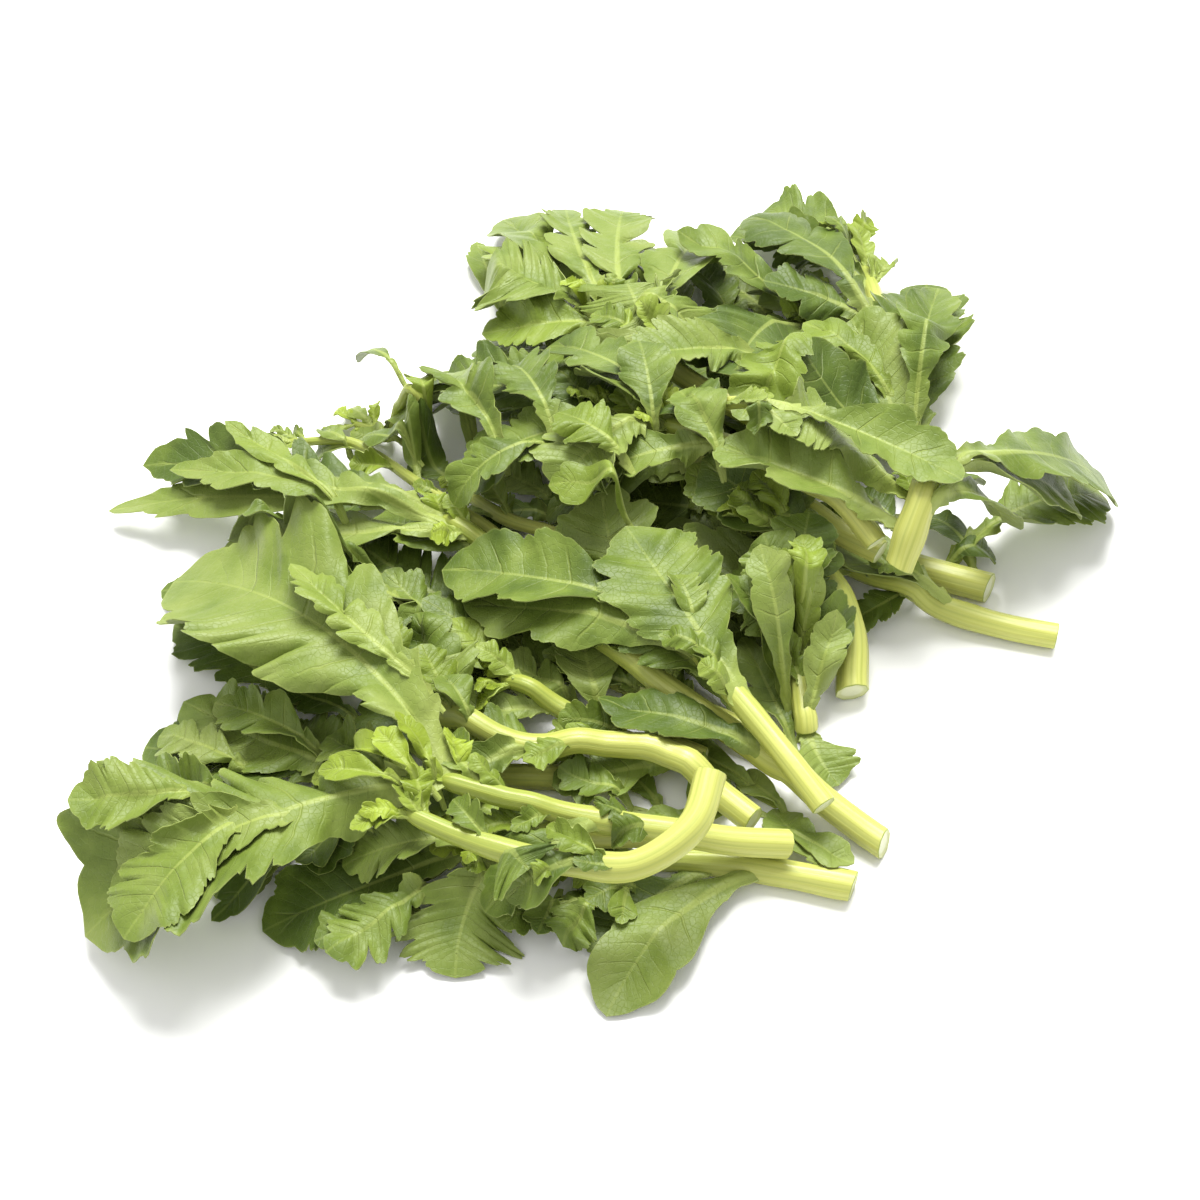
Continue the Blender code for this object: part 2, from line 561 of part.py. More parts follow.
def build_shoot(number, shoot, heap):
    random = np.random.RandomState(500 + number)
    tone = 1 + 0.12 * math.sin(math.radians(GOLDEN_ANGLE * number))
    materials = [
        material(shoot.name + "_leaf", LEAF_COLOUR, tone, LEAF_ROUGHNESS),
        material(shoot.name + "_stem", STEM_COLOUR, tone, STEM_ROUGHNESS),
    ]
    centre, radius = lay_stem(shoot, heap)
    stem_points, stem_faces = sweep(centre, radius)
    stem = add_object(shoot.name, stem_points, stem_faces, materials, 1, bpy.context.scene.collection)
    blades = bpy.data.collections.new(shoot.name + "_blades")
    bpy.context.scene.collection.children.link(blades)
    own = Relief()
    # Blades low in the heap lie flatter than the ones on top of it
    ease = number / (len(SHOOTS) - 1)
    under, over = grown_leaves(shoot, number, ease)
    share = np.linspace(0, 1, len(centre))

    def lay(leaf, name, by_hand):
        root = [np.interp(leaf.at * 0.985, share, centre[:, k]) for k in range(3)]
        root_radius = np.interp(leaf.at, share, radius)
        lobes = 1 + (leaf.width > 20) + (leaf.width > 37 and by_hand)
        cup = random.uniform(0.004, 0.022) * (1 if random.rand() < 0.7 else -1)
        if by_hand:
            leaf = aimed(leaf, root, heap)
            points, _, triangles, border = lay_blade(leaf, root, root_radius, heap, own, lobes, cup, ease)
        else:
            points, triangles, border = easiest_blade(leaf, root, root_radius, heap, own, lobes, cup, ease)
        solid, faces = blade_mesh(points, triangles, border)
        add_object(name, solid, faces, materials, 0, blades)
        top = solid[:len(points)]
        own.cover(over_triangles(spread_weights(top, triangles, 1.2), top, triangles).reshape(-1, 3))

    for k, leaf in enumerate(under):
        lay(leaf, f"under_{k}", False)
    own.cover(upper_half(centre, radius))
    for k, leaf in enumerate(over):
        lay(leaf, f"over_{k}", False)
    for k, leaf in enumerate(shoot.placed):
        lay(leaf, f"placed_{k}", True)
    heap.cover_with(own)
    join(stem, blades)


def upper_half(centre, radius):
    # The upper half of the stem, as points for the relief map
    share = np.linspace(0, 1, len(centre))
    fine = np.linspace(0, 1, 160)
    line = np.column_stack([np.interp(fine, share, centre[:, k]) for k in range(3)])
    wide = np.interp(fine, share, radius)
    along = np.gradient(line, axis=0)
    across = np.column_stack([-along[:, 1], along[:, 0], np.zeros(len(fine))])
    across /= np.linalg.norm(across, axis=1)[:, None]
    lanes = []
    for offset in np.linspace(-1, 1, 9):
        spot = line + across * (offset * wide)[:, None]
        spot[:, 2] += wide * math.sqrt(max(0.0, 1 - offset**2))
        lanes.append(spot)
    return np.vstack(lanes)


def main():
    for old in list(bpy.data.objects):
        bpy.data.objects.remove(old)
    heap = Relief()
    for number, shoot in enumerate(SHOOTS):
        build_shoot(number, shoot, heap)
    print("heap height", round(float(heap.top.max()), 1), "mm")


main()
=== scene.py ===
# Chrysanthemum greens: the finish of one loose heap of cut leafy shoots on a table.
import math

import bpy
import numpy as np
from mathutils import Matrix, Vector


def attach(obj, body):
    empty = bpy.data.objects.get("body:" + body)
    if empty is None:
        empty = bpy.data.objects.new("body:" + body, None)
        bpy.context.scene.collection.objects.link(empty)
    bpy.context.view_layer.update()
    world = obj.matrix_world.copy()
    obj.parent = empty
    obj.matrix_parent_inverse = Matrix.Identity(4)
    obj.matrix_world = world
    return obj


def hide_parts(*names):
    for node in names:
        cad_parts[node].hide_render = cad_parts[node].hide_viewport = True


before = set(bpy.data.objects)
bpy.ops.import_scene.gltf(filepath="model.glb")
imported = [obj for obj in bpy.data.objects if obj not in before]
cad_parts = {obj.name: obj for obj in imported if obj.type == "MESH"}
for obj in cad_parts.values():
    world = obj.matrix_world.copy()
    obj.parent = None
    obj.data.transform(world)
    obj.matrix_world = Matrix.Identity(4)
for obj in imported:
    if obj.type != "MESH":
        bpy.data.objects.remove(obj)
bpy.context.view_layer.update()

print("frame loaded:", len(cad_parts), "shoots")

# Layout sizes are millimetres in plan: +X right, +Y away from the front, +Z up.
metresPerMm = 0.001

layout = {
    "heapCentre": (4.6, 22.5),   # middle of the heap's outline, which is the frame's origin
    "reach": 250.0,              # half the side of the relief maps
    "coarseCell": 2.0,
    "fineCell": 1.0,
    "pathStep": 3.0,
    "stemSides": 6,
    "stemStep": 15.0,
    "stemTipShare": 0.55,
    "stemClearance": 0.9,
    "stemFlat": 0.1,
    "bladeThickness": 0.8,
    "bladeClearance": 0.45,
    "edgeWave": 0.9,
    "stemTurns": 400,            # how often heights are settled
    "bladeTurns": 36,
    "pitchTurns": 9,
    "rootDepth": 2.5,
    "goldenAngle": 137.5,
    "wingRow": 0.15,             # shares of the blade's length where its side veins start
    "firstRow": 0.28,
    "lastRow": 0.84,
    "midribShare": 0.84,
}
# Random draws start from these numbers. The first kind has the shoot's number or the last leaf's
# place added, the second a thousand for each shoot and the blade's place in its pile.
firstSeed = {"grown": 100, "laid": 500, "stem": 700, "young": 900, "last": 50000}
bladeSeed = {"below": 0, "above": 100, "young": 200, "tucked": 300, "beneath": 400}
seedsPerShoot = 1000


def shoot(name, stem, radius, lift, tipLift, grown, length, spread, *placed):
    # stem: plan points from the cut end to the tip; radius at the cut end; lift, tipLift: how far each
    # end is held up; grown: leaves by rule, with their length and how far they open; placed: leaves listed
    # one by one, as (place on stem, tip in plan, width, bend, cut, pitch, roll if any, kind if not lobed)
    return dict(name=name, stem=stem, radius=radius, lift=lift, tipLift=tipLift,
                grown=grown, length=length, spread=spread, placed=placed)


shootList = [
    shoot("shoot_01_front_floor", [(80, -122), (32, -112), (-13, -112)], 4.6, 0, 0, 3, 58, 50,
        (0.3, (4, -165), 29, 48, 0.14, 0, 0, "spoon"), (0.06, (57, -91), 17, -20, 0.25, 6, 10, "toothed")),
    shoot("shoot_02_back_floor", [(136, 1), (99, 16), (36, 51)], 5.4, 0, 0, 4, 80, 48,
        (0.8, (21, 142), 54, -30, 0.3, 6), (0.94, (-10, 138), 50, -24, 0.3, 6),
        (1, (-38, 113), 46, -12, 0.24, 6, 4), (0.92, (-63, 98), 42, 20, 0.34, 4)),
    shoot("shoot_03_middle_floor", [(59, -68), (17, -44), (-33, -20)], 4.8, 0, 0, 3, 78, 52,
        (1, (-116, 10), 38, 6, 0.36, 6, 0, "cut"), (0.96, (-90, 20), 38, -14, 0.36, 6, 0, "cut")),
    shoot("shoot_04_front_left", [(18, -107), (-13, -109), (-37, -112)], 4.4, 0, 0, 2, 66, 46,
        (0.94, (-103, -136), 40, 10, 0.26, 4, 4, "toothed"), (0.88, (-44, -152), 42, 40, 0.44, 4, -4)),
    shoot("shoot_05_left_fill", [(-3, -80), (-54, -78), (-81, -80)], 4.4, 0, 0, 2, 62, 46,
        (0.92, (-105, -56), 34, -30, 0.36, 6), (1, (-149, -66), 36, -10, 0.42, 8),
        (0.96, (-137, -53), 38, -24, 0.4, 8), (1, (-120, -123), 24, 24, 0.44, 4),
        (0.9, (-88, -120), 24, 30, 0.44, 4)),
    shoot("shoot_06_middle_fill", [(34, -77), (0, -63), (-34, -46)], 4.2, 0, 0, 3, 56, 54,
        (0.08, (-14, -86), 25, 6, 0.4, 6)),
    shoot("shoot_07_back_right", [(157, -20), (130, -13), (104, -2), (60, 23)], 4.5, 0, 0, 3, 80, 42,
        (0.3, (62, 25), 32, -8, 0.22, 12, 22, "smooth")),
    shoot("shoot_08_back_left", [(96, 0), (73, 14), (26, 48), (0, 65)], 4.4, 4, 3, 4, 78, 50,
        (0.94, (-43, 119), 44, -10, 0.36, 8), (1, (-63, 85), 38, 10, 0.36, 8),
        (0.8, (-15, 77), 40, -30, 0.36, 10)),
    shoot("shoot_09_slim_bud", [(14, 2), (-28, 24), (-52, 49), (-73, 72), (-93, 83)], 2.7, 0, 3, 5, 28, 48),
    shoot("shoot_10_slim_side", [(20, -25), (-28, 11), (-60, 40), (-91, 66), (-126, 71)],
        2.5, 0, 3, 4, 24, 44),
    shoot("shoot_11_right_foot", [(85, -45), (85, -25), (76, -8), (56, 11)], 5.6, 0, 3, 3, 70, 52,
        (0.5, (37, 34), 34, 10, 0.2, 14, -20, "smooth")),
    shoot("shoot_12_front_long", [(49, -101), (21, -79), (-8, -75), (-32, -75), (-59, -54), (-96, -15)],
        4.6, 0, 2, 4, 62, 44,
        (0.62, (-53, -42), 27, 10, 0.16, 34, 16, "smooth"),
        (0.8, (-77, -25), 30, -20, 0.24, 34, 20, "smooth"), (0.98, (-152, 1), 26, 8, 0.3, 8, 0, "cut")),
    shoot("shoot_13_side_cluster", [(69, -59), (67, -44), (65, -30)], 3.6, 0, 4, 1, 46, 40,
        (0.1, (78, -80), 24, 30, 0.24, 2, 0, "toothed"), (0.9, (83, -34), 24, -30, 0.2, 16, 0, "toothed"),
        (1, (69, -8), 28, -8, 0.24, 22, -16, "toothed"), (0.95, (56, -10), 26, 0, 0.24, 26, 14, "toothed"),
        (0.85, (48, -29), 22, 20, 0.26, 26, 20, "toothed")),
    shoot("shoot_14_straight", [(91, -106), (13, -43), (-41, 9), (-56, 20)], 4.8, 0, 6, 2, 72, 40,
        (0.93, (-131, 17), 26, -6, 0.44, 4, 0, "cut"), (0.97, (-172, 36), 20, 10, 0.42, 4, 14, "cut"),
        (1, (-162, 54), 33, 8, 0.3, 4, -8, "cut"), (0.22, (1, -59), 26, 6, 0.22, 14, 30, "toothed")),
    shoot("shoot_15_crossing", [(71, -101), (43, -60), (17, -23)], 4.2, 4, 6, 2, 60, 50,
        (0.7, (-44, -16), 30, 4, 0.22, 4, -12, "toothed"), (0.86, (-52, -3), 37, 6, 0.22, 6, -4, "toothed"),
        (0.42, (10, 3), 48, -8, 0.3, 14, 6, "toothed")),
    shoot("shoot_16_back_top", [(57, 56), (29, 81), (0, 123)], 4.2, 6, 4, 2, 70, 54,
        (1, (-38, 195), 30, -10, 0.26, 12, 0, "spoon"), (0.92, (-13, 195), 26, -20, 0.36, 12, 0, "cut"),
        (0.8, (11, 196), 34, -20, 0.36, 14, 0, "cut"), (0.6, (45, 181), 32, -20, 0.4, 14),
        (0.98, (-44, 138), 46, 8, 0.4, 12, 4), (0.62, (10, 124), 44, 0, 0.36, 20, 8),
        (0.46, (10, 102), 52, 10, 0.4, 20), (0.9, (55, 85), 34, -30, 0.34, 20)),
    shoot("shoot_17_top_right", [(113, 88), (102, 112), (85, 131)], 4, 4, 6, 3, 56, 58,
        (0.2, (77, 111), 50, -10, 0.2, 10, 0, "smooth"), (0.9, (68, 156), 34, 10, 0.44, 20),
        (1, (50, 70), 44, 60, 0.28, 24), (1, (30, 152), 30, 10, 0.36, 16)),
    shoot("shoot_18_back_corner", [(105, 114), (106, 146), (101, 175)], 3.8, 4, 4, 2, 50, 54,
        (0.96, (66, 201), 34, 30, 0.4, 16), (0.8, (53, 180), 32, 24, 0.36, 14),
        (0.15, (63, 135), 26, 20, 0.4, 16), (0.05, (56, 180), 34, 34, 0.4, 18)),
    shoot("shoot_19_top_crown", [(93, -7), (68, 16), (21, 50)], 4, 2, 4, 1, 56, 50,
        (0.7, (29, 59), 32, -10, 0.2, 16, -10, "smooth"), (0.96, (-54, 33), 34, 10, 0.34, 16, 4),
        (0.96, (1, 77), 34, -20, 0.18, 34, 16, "smooth"), (1, (-14, 16), 38, 30, 0.36, 26),
        (1, (-19, 95), 28, 10, 0.4, 20)),
    shoot("shoot_20_front_top", [(59, -112), (31, -113), (-13, -108), (-51, -98)], 4.7, 0, 8, 2, 50, 40,
        (0.97, (-146, -8), 72, 34, 0.3, 18, 4), (1, (-158, -142), 70, 14, 0.3, 14)),
    shoot("shoot_21_bent_foot", [(34, -109), (30, -122), (15, -136), (-28, -128), (-61, -113)],
        4.9, 18, 0, 0, 54, 40,
        (0.42, (-3, -136), 18, 10, 0.36, -10), (0.72, (-22, -138), 26, 20, 0.2, -10, 0, "toothed")),
    shoot("shoot_22_right_upright", [(100, -17), (110, 7), (114, 57)], 4.8, 6, 4, 2, 50, 60,
        (0.1, (142, 21), 18, 20, 0.2, -10, 0, "toothed"), (0.28, (166, 27), 28, -20, 0.24, -4, 0, "smooth"),
        (0.28, (185, 42), 36, -14, 0.24, 0, 6, "toothed"), (0.95, (127, 149), 42, -6, 0.42, 10, -6),
        (0.92, (95, 114), 40, 10, 0.24, 4, 0, "toothed"), (0.12, (42, 27), 36, -4, 0.28, 10, 8, "toothed"),
        (0.6, (60, 30), 42, 24, 0.18, 14, -6, "smooth"), (0.95, (70, 83), 36, 10, 0.2, 14, 0, "smooth")),
    shoot("shoot_23_right_twig", [(33, 46), (47, 41), (60, 35)], 2.6, 0, 0, 1, 30, 50,
        (1, (117, -2), 27, -14, 0.24, 3, 0, "toothed")),
]


class reliefMap:
    # height of the heap so far, on a square grid over the table; spread is the highest of 3 x 3 cells
    def __init__(self, cell):
        self.cell = cell
        self.count = int(2 * layout["reach"] / cell) + 1
        self.top = np.zeros((self.count, self.count))
        self.spread = self.top.copy()

    def cells(self, points):
        spot = np.rint((np.asarray(points)[..., :2] + layout["reach"]) / self.cell).astype(int)
        spot = np.clip(spot, 0, self.count - 1)
        return spot[..., 0], spot[..., 1]

    def under(self, points):
        return self.spread[self.cells(points)]

    def cover(self, points):
        np.maximum.at(self.top, self.cells(points), points[..., 2])
        self.widen()

    def coverWith(self, other):
        self.top = np.maximum(self.top, other.top)
        self.widen()

    def widen(self):
        padded = np.pad(self.top, 1, mode="edge")
        shifts = [padded[i:i + self.count, j:j + self.count] for i in range(3) for j in range(3)]
        self.spread = np.max(shifts, axis=0)


def unit(vectors):
    # each vector divided by its length
    return vectors / np.maximum(np.linalg.norm(vectors, axis=-1, keepdims=True), 1e-9)


def runOf(line):
    # how far along a line each of its points lies
    return np.concatenate([[0], np.cumsum(np.linalg.norm(np.diff(line, axis=0), axis=1))])


def pointsAt(at, run, line):
    # the places on a line at the given distances along it
    return np.stack([np.interp(at, run, column) for column in np.transpose(line)], axis=-1)


def acrossOf(line):
    # level unit vectors square to a line
    along = np.gradient(line, axis=0)
    return unit(np.column_stack([-along[:, 1], along[:, 0]]))


def smoothLine(points, perSpan):
    # Catmull-Rom: each span is 0.5 (2b + (c-a)t + (2a-5b+4c-d)t^2 + (3b-a-3c+d)t^3)
    p = np.array(points, float)
    p = np.vstack([2 * p[0] - p[1], p, 2 * p[-1] - p[-2]])
    t = np.linspace(0, 1, perSpan, endpoint=False)[None, :, None]
    a, b, c, d = (p[k:len(p) - 3 + k, None, :] for k in range(4))
    spans = 0.5 * (2 * b + (c - a) * t + (2 * a - 5 * b + 4 * c - d) * t**2 + (3 * b - a - 3 * c + d) * t**3)
    return np.vstack([spans.reshape(-1, p.shape[1]), p[-2:-1]])


def roundedPath(points):
    # an even walk along the smooth line through the points
    curve = smoothLine(points, 24)
    run = runOf(curve)
    even = np.linspace(0, run[-1], max(4, int(round(run[-1] / layout["pathStep"])) + 1))
    return pointsAt(even, run, curve)


def overStem(line, radius, offsets):
    # lanes along a stem's upper half, offset radius across and radius sqrt(1 - offset^2) above its
    # middle line, with that height
    offset = offsets[:, None]
    lanes = np.repeat(line[None], len(offset), axis=0)
    lanes[..., :2] += acrossOf(line) * (offset * radius)[..., None]
    return lanes, radius * np.sqrt(np.maximum(0.0, 1 - offset**2))


def stemFloor(heap, line, radius, floor, offsets, clearance):
    # the height at which the round of the stem clears what lies under it: the highest lane's
    # under + clearance + rise
    lanes, rise = overStem(line, radius, offsets)
    under = heap.under(lanes)
    return np.maximum(floor, np.where(under > 0, under + clearance + rise, 0).max(axis=0))


def layStem(one, heap):
    # the stem's centre line pulled taut over what lies under it: heights settle to the larger of
    # their floor and the mean of their neighbours; few stations then carry it
    fine = roundedPath(one["stem"])
    count = len(fine)
    share = np.linspace(0, 1, count)
    radius = one["radius"] * (1 - (1 - layout["stemTipShare"]) * share**1.6)
    onTable = radius * math.cos(math.pi / layout["stemSides"]) - layout["stemFlat"]
    floor = stemFloor(heap, fine, radius, onTable, np.linspace(-1.4, 1.4, 9), layout["stemClearance"])
    lowest = floor + (one["lift"] * np.exp(-(share / 0.22) ** 2) + one["tipLift"] * share**2)
    height = lowest.copy()
    for _ in range(layout["stemTurns"]):
        height[1:-1] = np.maximum(lowest[1:-1], (height[:-2] + height[2:]) / 2 - 0.01)
    stations = max(4, int(count * layout["pathStep"] / layout["stemStep"]))
    keep = np.unique(np.rint(np.linspace(0, count - 1, stations)).astype(int))
    kept = height[keep].copy()
    span = np.clip(np.searchsorted(keep, np.arange(count), side="right") - 1, 0, len(keep) - 2)
    part = (np.arange(count) - keep[span]) / (keep[span + 1] - keep[span])
    for _ in range(30):
        lack = np.maximum(floor - (kept[span] * (1 - part) + kept[span + 1] * part), 0.0)
        push = np.zeros(len(kept))
        share = (1 - part) ** 2 + part**2
        np.maximum.at(push, span, lack * (1 - part) / share)
        np.maximum.at(push, span + 1, lack * part / share)
        kept += push
    return np.column_stack([fine[keep], kept]), radius[keep]


def bladeWidths(leaf, u):
    # where the side vein at share u leaves the midrib, how far forward its end lies, and how far out
    openOut = np.clip((u - 0.10) / 0.45, 0, 1)
    openOut = openOut**2 * (3 - 2 * openOut)
    closeIn = np.clip(1 - np.clip((u - 0.62) / 0.38, 0, 1) ** 2.4, 0, 1) ** 0.6
    half = leaf["width"] / 2 * (0.16 + 0.84 * openOut) * closeIn
    tipPart = (1 - layout["midribShare"]) * leaf["length"]
    forward = 0.55 * half * (1 - u**4) + tipPart * u**4
    middle = leaf["length"] * u * (1 - (1 - layout["midribShare"]) * u)
    return middle, forward, half


def coarseRows(leaf, lobes):
    # rows in turn at bays and lobe tips, with the blade's own tip last
    veins = np.linspace(layout["firstRow"], layout["lastRow"], 2 * lobes)
    rows = np.concatenate([[0.0, layout["wingRow"]], veins, [1.0]])
    reach = np.concatenate([[1.0, 1.0], np.tile([1 - leaf["cut"], 1.0], lobes), [1.0]])
    middle, forward, half = bladeWidths(leaf, rows)
    return rows, middle, middle + forward * reach, half * reach


def bladeFrame(leaf, root, endPitch):
    # the midrib in space, by adding up short steps whose heading and pitch change steadily
    run = np.linspace(-layout["rootDepth"], leaf["length"], 40)
    share = np.clip(run / leaf["length"], 0, 1)
    heading = np.radians(leaf["heading"] + leaf["bend"] * share)
    pitch = np.radians(leaf["pitch"] + (endPitch - leaf["pitch"]) * share**1.2)
    roll = np.radians(leaf["roll"] * share)
    along = np.column_stack([np.cos(pitch) * np.cos(heading), np.cos(pitch) * np.sin(heading), np.sin(pitch)])
    level = np.column_stack([-np.sin(heading), np.cos(heading), np.zeros_like(run)])
    above = np.cross(along, level)
    steps = (along[1:] + along[:-1]) / 2 * (run[1] - run[0])
    line = np.concatenate([[np.zeros(3)], np.cumsum(steps, axis=0)])
    line += np.array(root) - layout["rootDepth"] * along[0]
    side = level * np.cos(roll)[:, None] + above * np.sin(roll)[:, None]
    return run, line, side, np.cross(along, side)


def onFrame(bent, a, b, cup, rise=0.0):
    # midrib(a) + side(a) sin(cup b) / cup + upward(a) ((1 - cos(cup b)) / cup + rise)
    run, *lines = bent
    middle, side, upward = (pointsAt(a, run, line) for line in lines)
    out = np.sin(cup * b) / cup
    up = (1 - np.cos(cup * b)) / cup + rise
    return middle + side * out[..., None] + upward * up[..., None]


def settledPitch(leaf, root, heap, floatDeg):
    # the end pitch at which the tip just comes down on the heap, by halving
    low, high = -78.0, 30.0
    gap = layout["bladeClearance"] + layout["bladeThickness"] / 2
    for _ in range(layout["pitchTurns"]):
        middle = (low + high) / 2
        tip = bladeFrame(leaf, root, middle)[1][-1]
        over = tip[2] - heap.under(tip) - gap
        low, high = (low, middle) if over > 0 else (middle, high)
    return (low + high) / 2 + floatDeg


def coarseCells(rows):
    # triangles over midrib 0..rows-1, left edge and right edge, whose ends share the one tip
    last = rows - 1
    k = np.arange(last - 1)
    left = rows + np.arange(rows)
    right = np.append(2 * rows + np.arange(last), left[last])
    strips = [(k, k + 1, left[k + 1]), (k, left[k + 1], left[k]),
              (k, right[k + 1], k + 1), (k, right[k], right[k + 1])]
    body = np.stack([np.column_stack(t) for t in strips], axis=1).reshape(-1, 3)
    ends = [(last - 1, last, left[last - 1]), (last, left[last], left[last - 1]),
            (last - 1, right[last - 1], last), (last, right[last - 1], left[last])]
    return np.vstack([body, np.array(ends)])


def spreadWeights(points, triangles, spacing):
    # weights of corners that spread points over a triangle as big as the biggest one
    corners = points[triangles]
    size = np.max(np.linalg.norm(corners - np.roll(corners, 1, axis=1), axis=2))
    n = max(2, int(math.ceil(size / spacing)))
    i, j = np.meshgrid(np.arange(n + 1), np.arange(n + 1), indexing="ij")
    inside = (i + j) <= n
    return np.column_stack([i[inside], j[inside], n - i[inside] - j[inside]]) / n


def overTriangles(weights, points, triangles):
    # on each triangle, the sums of its corners times each row of weights
    return np.einsum("sw,twc->tsc", weights, points[triangles])


def faceNormals(points, triangles):
    # the cross product of two sides of each triangle
    ends = points[triangles]
    return np.cross(ends[:, 1] - ends[:, 0], ends[:, 2] - ends[:, 0])


def layBlade(leaf, root, rootRadius, heap, own, lobes, cup, ease):
    # the coarse blade after it has come down on the heap and on its own shoot: each corner rises by
    # the largest lack of height in its triangles, shared out by weight, and the lift is evened out
    bent = bladeFrame(leaf, root, settledPitch(leaf, root, heap, 8 * ease))
    shares, middle, edge, half = coarseRows(leaf, lobes)
    rows = len(middle)
    half[0] = min(half[0], 0.6 * rootRadius)
    deep = [-layout["rootDepth"]]
    a = np.concatenate([deep, middle[1:], deep, edge[1:], deep, edge[1:-1]])
    b = np.concatenate([np.zeros(rows), half, -half[:-1]])
    points = onFrame(bent, a, b, cup)
    wave = layout["edgeWave"] * ease * np.resize([1, -1], len(points) - rows) * (np.abs(b[rows:]) > 6)
    points[rows:, 2] += wave
    triangles = coarseCells(rows)
    weights = spreadWeights(points, triangles, 3.0)
    away = np.clip((np.einsum("sw,tw->ts", weights, a[triangles]) - 8.0) / 20.0, 0.0, 1.0)
    free = np.ones(len(points))
    free[[0, rows, 2 * rows]] = 0.0
    share = np.einsum("sw,tw->ts", weights**2, free[triangles])
    columns = np.array([range(rows), range(rows, 2 * rows), [*range(2 * rows, 3 * rows - 1), 2 * rows - 1]])
    start = points[:, 2].copy()
    for turn in range(layout["bladeTurns"]):
        if turn % 6 == 5 and turn < layout["bladeTurns"] - 6:
            lift = (points[:, 2] - start)[columns]
            lift[:, 1:-1] = 0.5 * lift[:, 1:-1] + 0.25 * (lift[:, :-2] + lift[:, 2:])
            lift[1:] = 0.7 * lift[1:] + 0.3 * lift[0]
            points[columns[::-1], 2] = start[columns[::-1]] + 0.94 * lift[::-1]
        spots = overTriangles(weights, points, triangles)
        normal = faceNormals(points, triangles)
        upright = np.abs(normal[:, 2]) / (np.linalg.norm(normal, axis=1) + 1e-9)
        thick = (layout["bladeThickness"] / 2 / np.maximum(upright, 0.35))[:, None]
        under, ownUnder = heap.under(spots), own.under(spots)
        need = np.maximum(under + np.where(under > 0, layout["bladeClearance"], 0.0), 0.0) + thick
        ownLack = (ownUnder + thick - spots[..., 2]) * away
        lack = np.maximum(need - spots[..., 2], np.where(ownUnder > 0, ownLack, 0.0))
        lack = np.maximum(np.where(share > 0.1, lack, 0.0), 0)
        push = np.zeros(len(points))
        for corner in range(3):
            part = lack * weights[None, :, corner] / np.maximum(share, 0.1)
            np.maximum.at(push, triangles[:, corner], part.max(axis=1))
        points[:, 2] += push * free
    rise = points[:, 2] - start
    lifted = float(np.mean(rise)) + 0.5 * float(np.max(rise))
    rise[rows:] += wave
    return dict(leaf=leaf, bent=bent, cup=cup, lobes=lobes, shares=shares, points=points, ease=ease,
                triangles=triangles, rise=rise[columns], lifted=lifted, rootRadius=rootRadius)


def easiestBlade(leaf, *rest):
    # the blade, turned one way or the other where that lowers its lift + 0.22 for each degree
    best = None
    for turned in (0, -14, 14, -28, 28, -42, 42):
        laid = layBlade(dict(leaf, heading=leaf["heading"] + turned), *rest)
        cost = laid["lifted"] + 0.22 * abs(turned)
        if best is None or cost < best[0]:
            best = (cost, laid)
        if laid["lifted"] < 2.0:
            break
    return best[1]


def coarseTop(laid):
    # the coarse blade's upper face: half its thickness out along the corner normals
    points, triangles = laid["points"], laid["triangles"]
    face = faceNormals(points, triangles)
    normal = np.zeros_like(points)
    for corner in range(3):
        np.add.at(normal, triangles[:, corner], face)
    top = points + unit(normal) * layout["bladeThickness"] / 2
    top[:, 2] = np.maximum(top[:, 2], layout["bladeThickness"])
    return overTriangles(spreadWeights(top, triangles, 1.2), top, triangles).reshape(-1, 3)


def grownLeaves(one, number, ease):
    # leaves by rule, turned round the stem by the golden angle: heading = path's heading + spread
    # (1 - 0.45 at) cos(turn) and a little at random; the upper ones lie over the stem
    random = np.random.RandomState(firstSeed["grown"] + number)
    under, over = [], []
    path = roundedPath(one["stem"])
    for k in range(one["grown"]):
        at = 0.30 + 0.70 * ((k + 0.5) / one["grown"]) ** 0.8
        turn = math.radians(40 * number + layout["goldenAngle"] * k)
        young = max(0.0, (at - 0.72) / 0.28)
        length = one["length"] * (0.92 - 0.34 * young) * random.uniform(0.82, 1.12)
        opening = one["spread"] * (1.0 - 0.45 * at) * math.cos(turn) + random.uniform(-9, 9)
        leaf = dict(at=at, heading=headingAt(path, at)[1] + opening, length=length,
                    width=length * random.uniform(0.46, 0.60), bend=random.uniform(-26, 26),
                    roll=random.uniform(-26, 26) * ease, cut=random.uniform(0.26, 0.46),
                    pitch=2 + 20 * max(0.0, math.sin(turn)) * ease, kind="lobed", youth=0.25 * young)
        (over if math.sin(turn) > 0 else under).append(leaf)
    return under, over[::-1]


def headingAt(line, at):
    # the point at a share of the line, and the line's heading there
    spot = min(len(line) - 2, int(at * (len(line) - 1)))
    step = line[spot + 1] - line[spot]
    return spot, math.degrees(math.atan2(step[1], step[0]))


def aimed(at, root, heap, tip, width, bend, cut, pitch, roll=0, kind="lobed", youth=0):
    # the blade whose midrib ends at the tip's place on the heap: length = 1.04 straight distance
    # (half the bend) / sin(half the bend)
    drop = root[2] - heap.under(tip)
    halfBend = math.radians(bend) / 2
    stretch = halfBend / math.sin(halfBend) if halfBend else 1.0
    length = 1.04 * math.hypot(tip[0] - root[0], tip[1] - root[1], drop) * stretch
    heading = math.degrees(math.atan2(tip[1] - root[1], tip[0] - root[0])) - bend / 2
    return dict(at=at, heading=heading, length=length, width=width, bend=bend, roll=roll, cut=cut,
                pitch=pitch, kind=kind, youth=youth)


def upperHalf(centre, radius):
    # points over the stem's upper half, for the relief map
    share = np.linspace(0, 1, len(centre))
    fine = np.linspace(0, 1, 160)
    wide = np.interp(fine, share, radius)
    lanes, rise = overStem(pointsAt(fine, share, centre), wide, np.linspace(-1, 1, 9))
    lanes[..., 2] += rise
    return lanes.reshape(-1, 3)


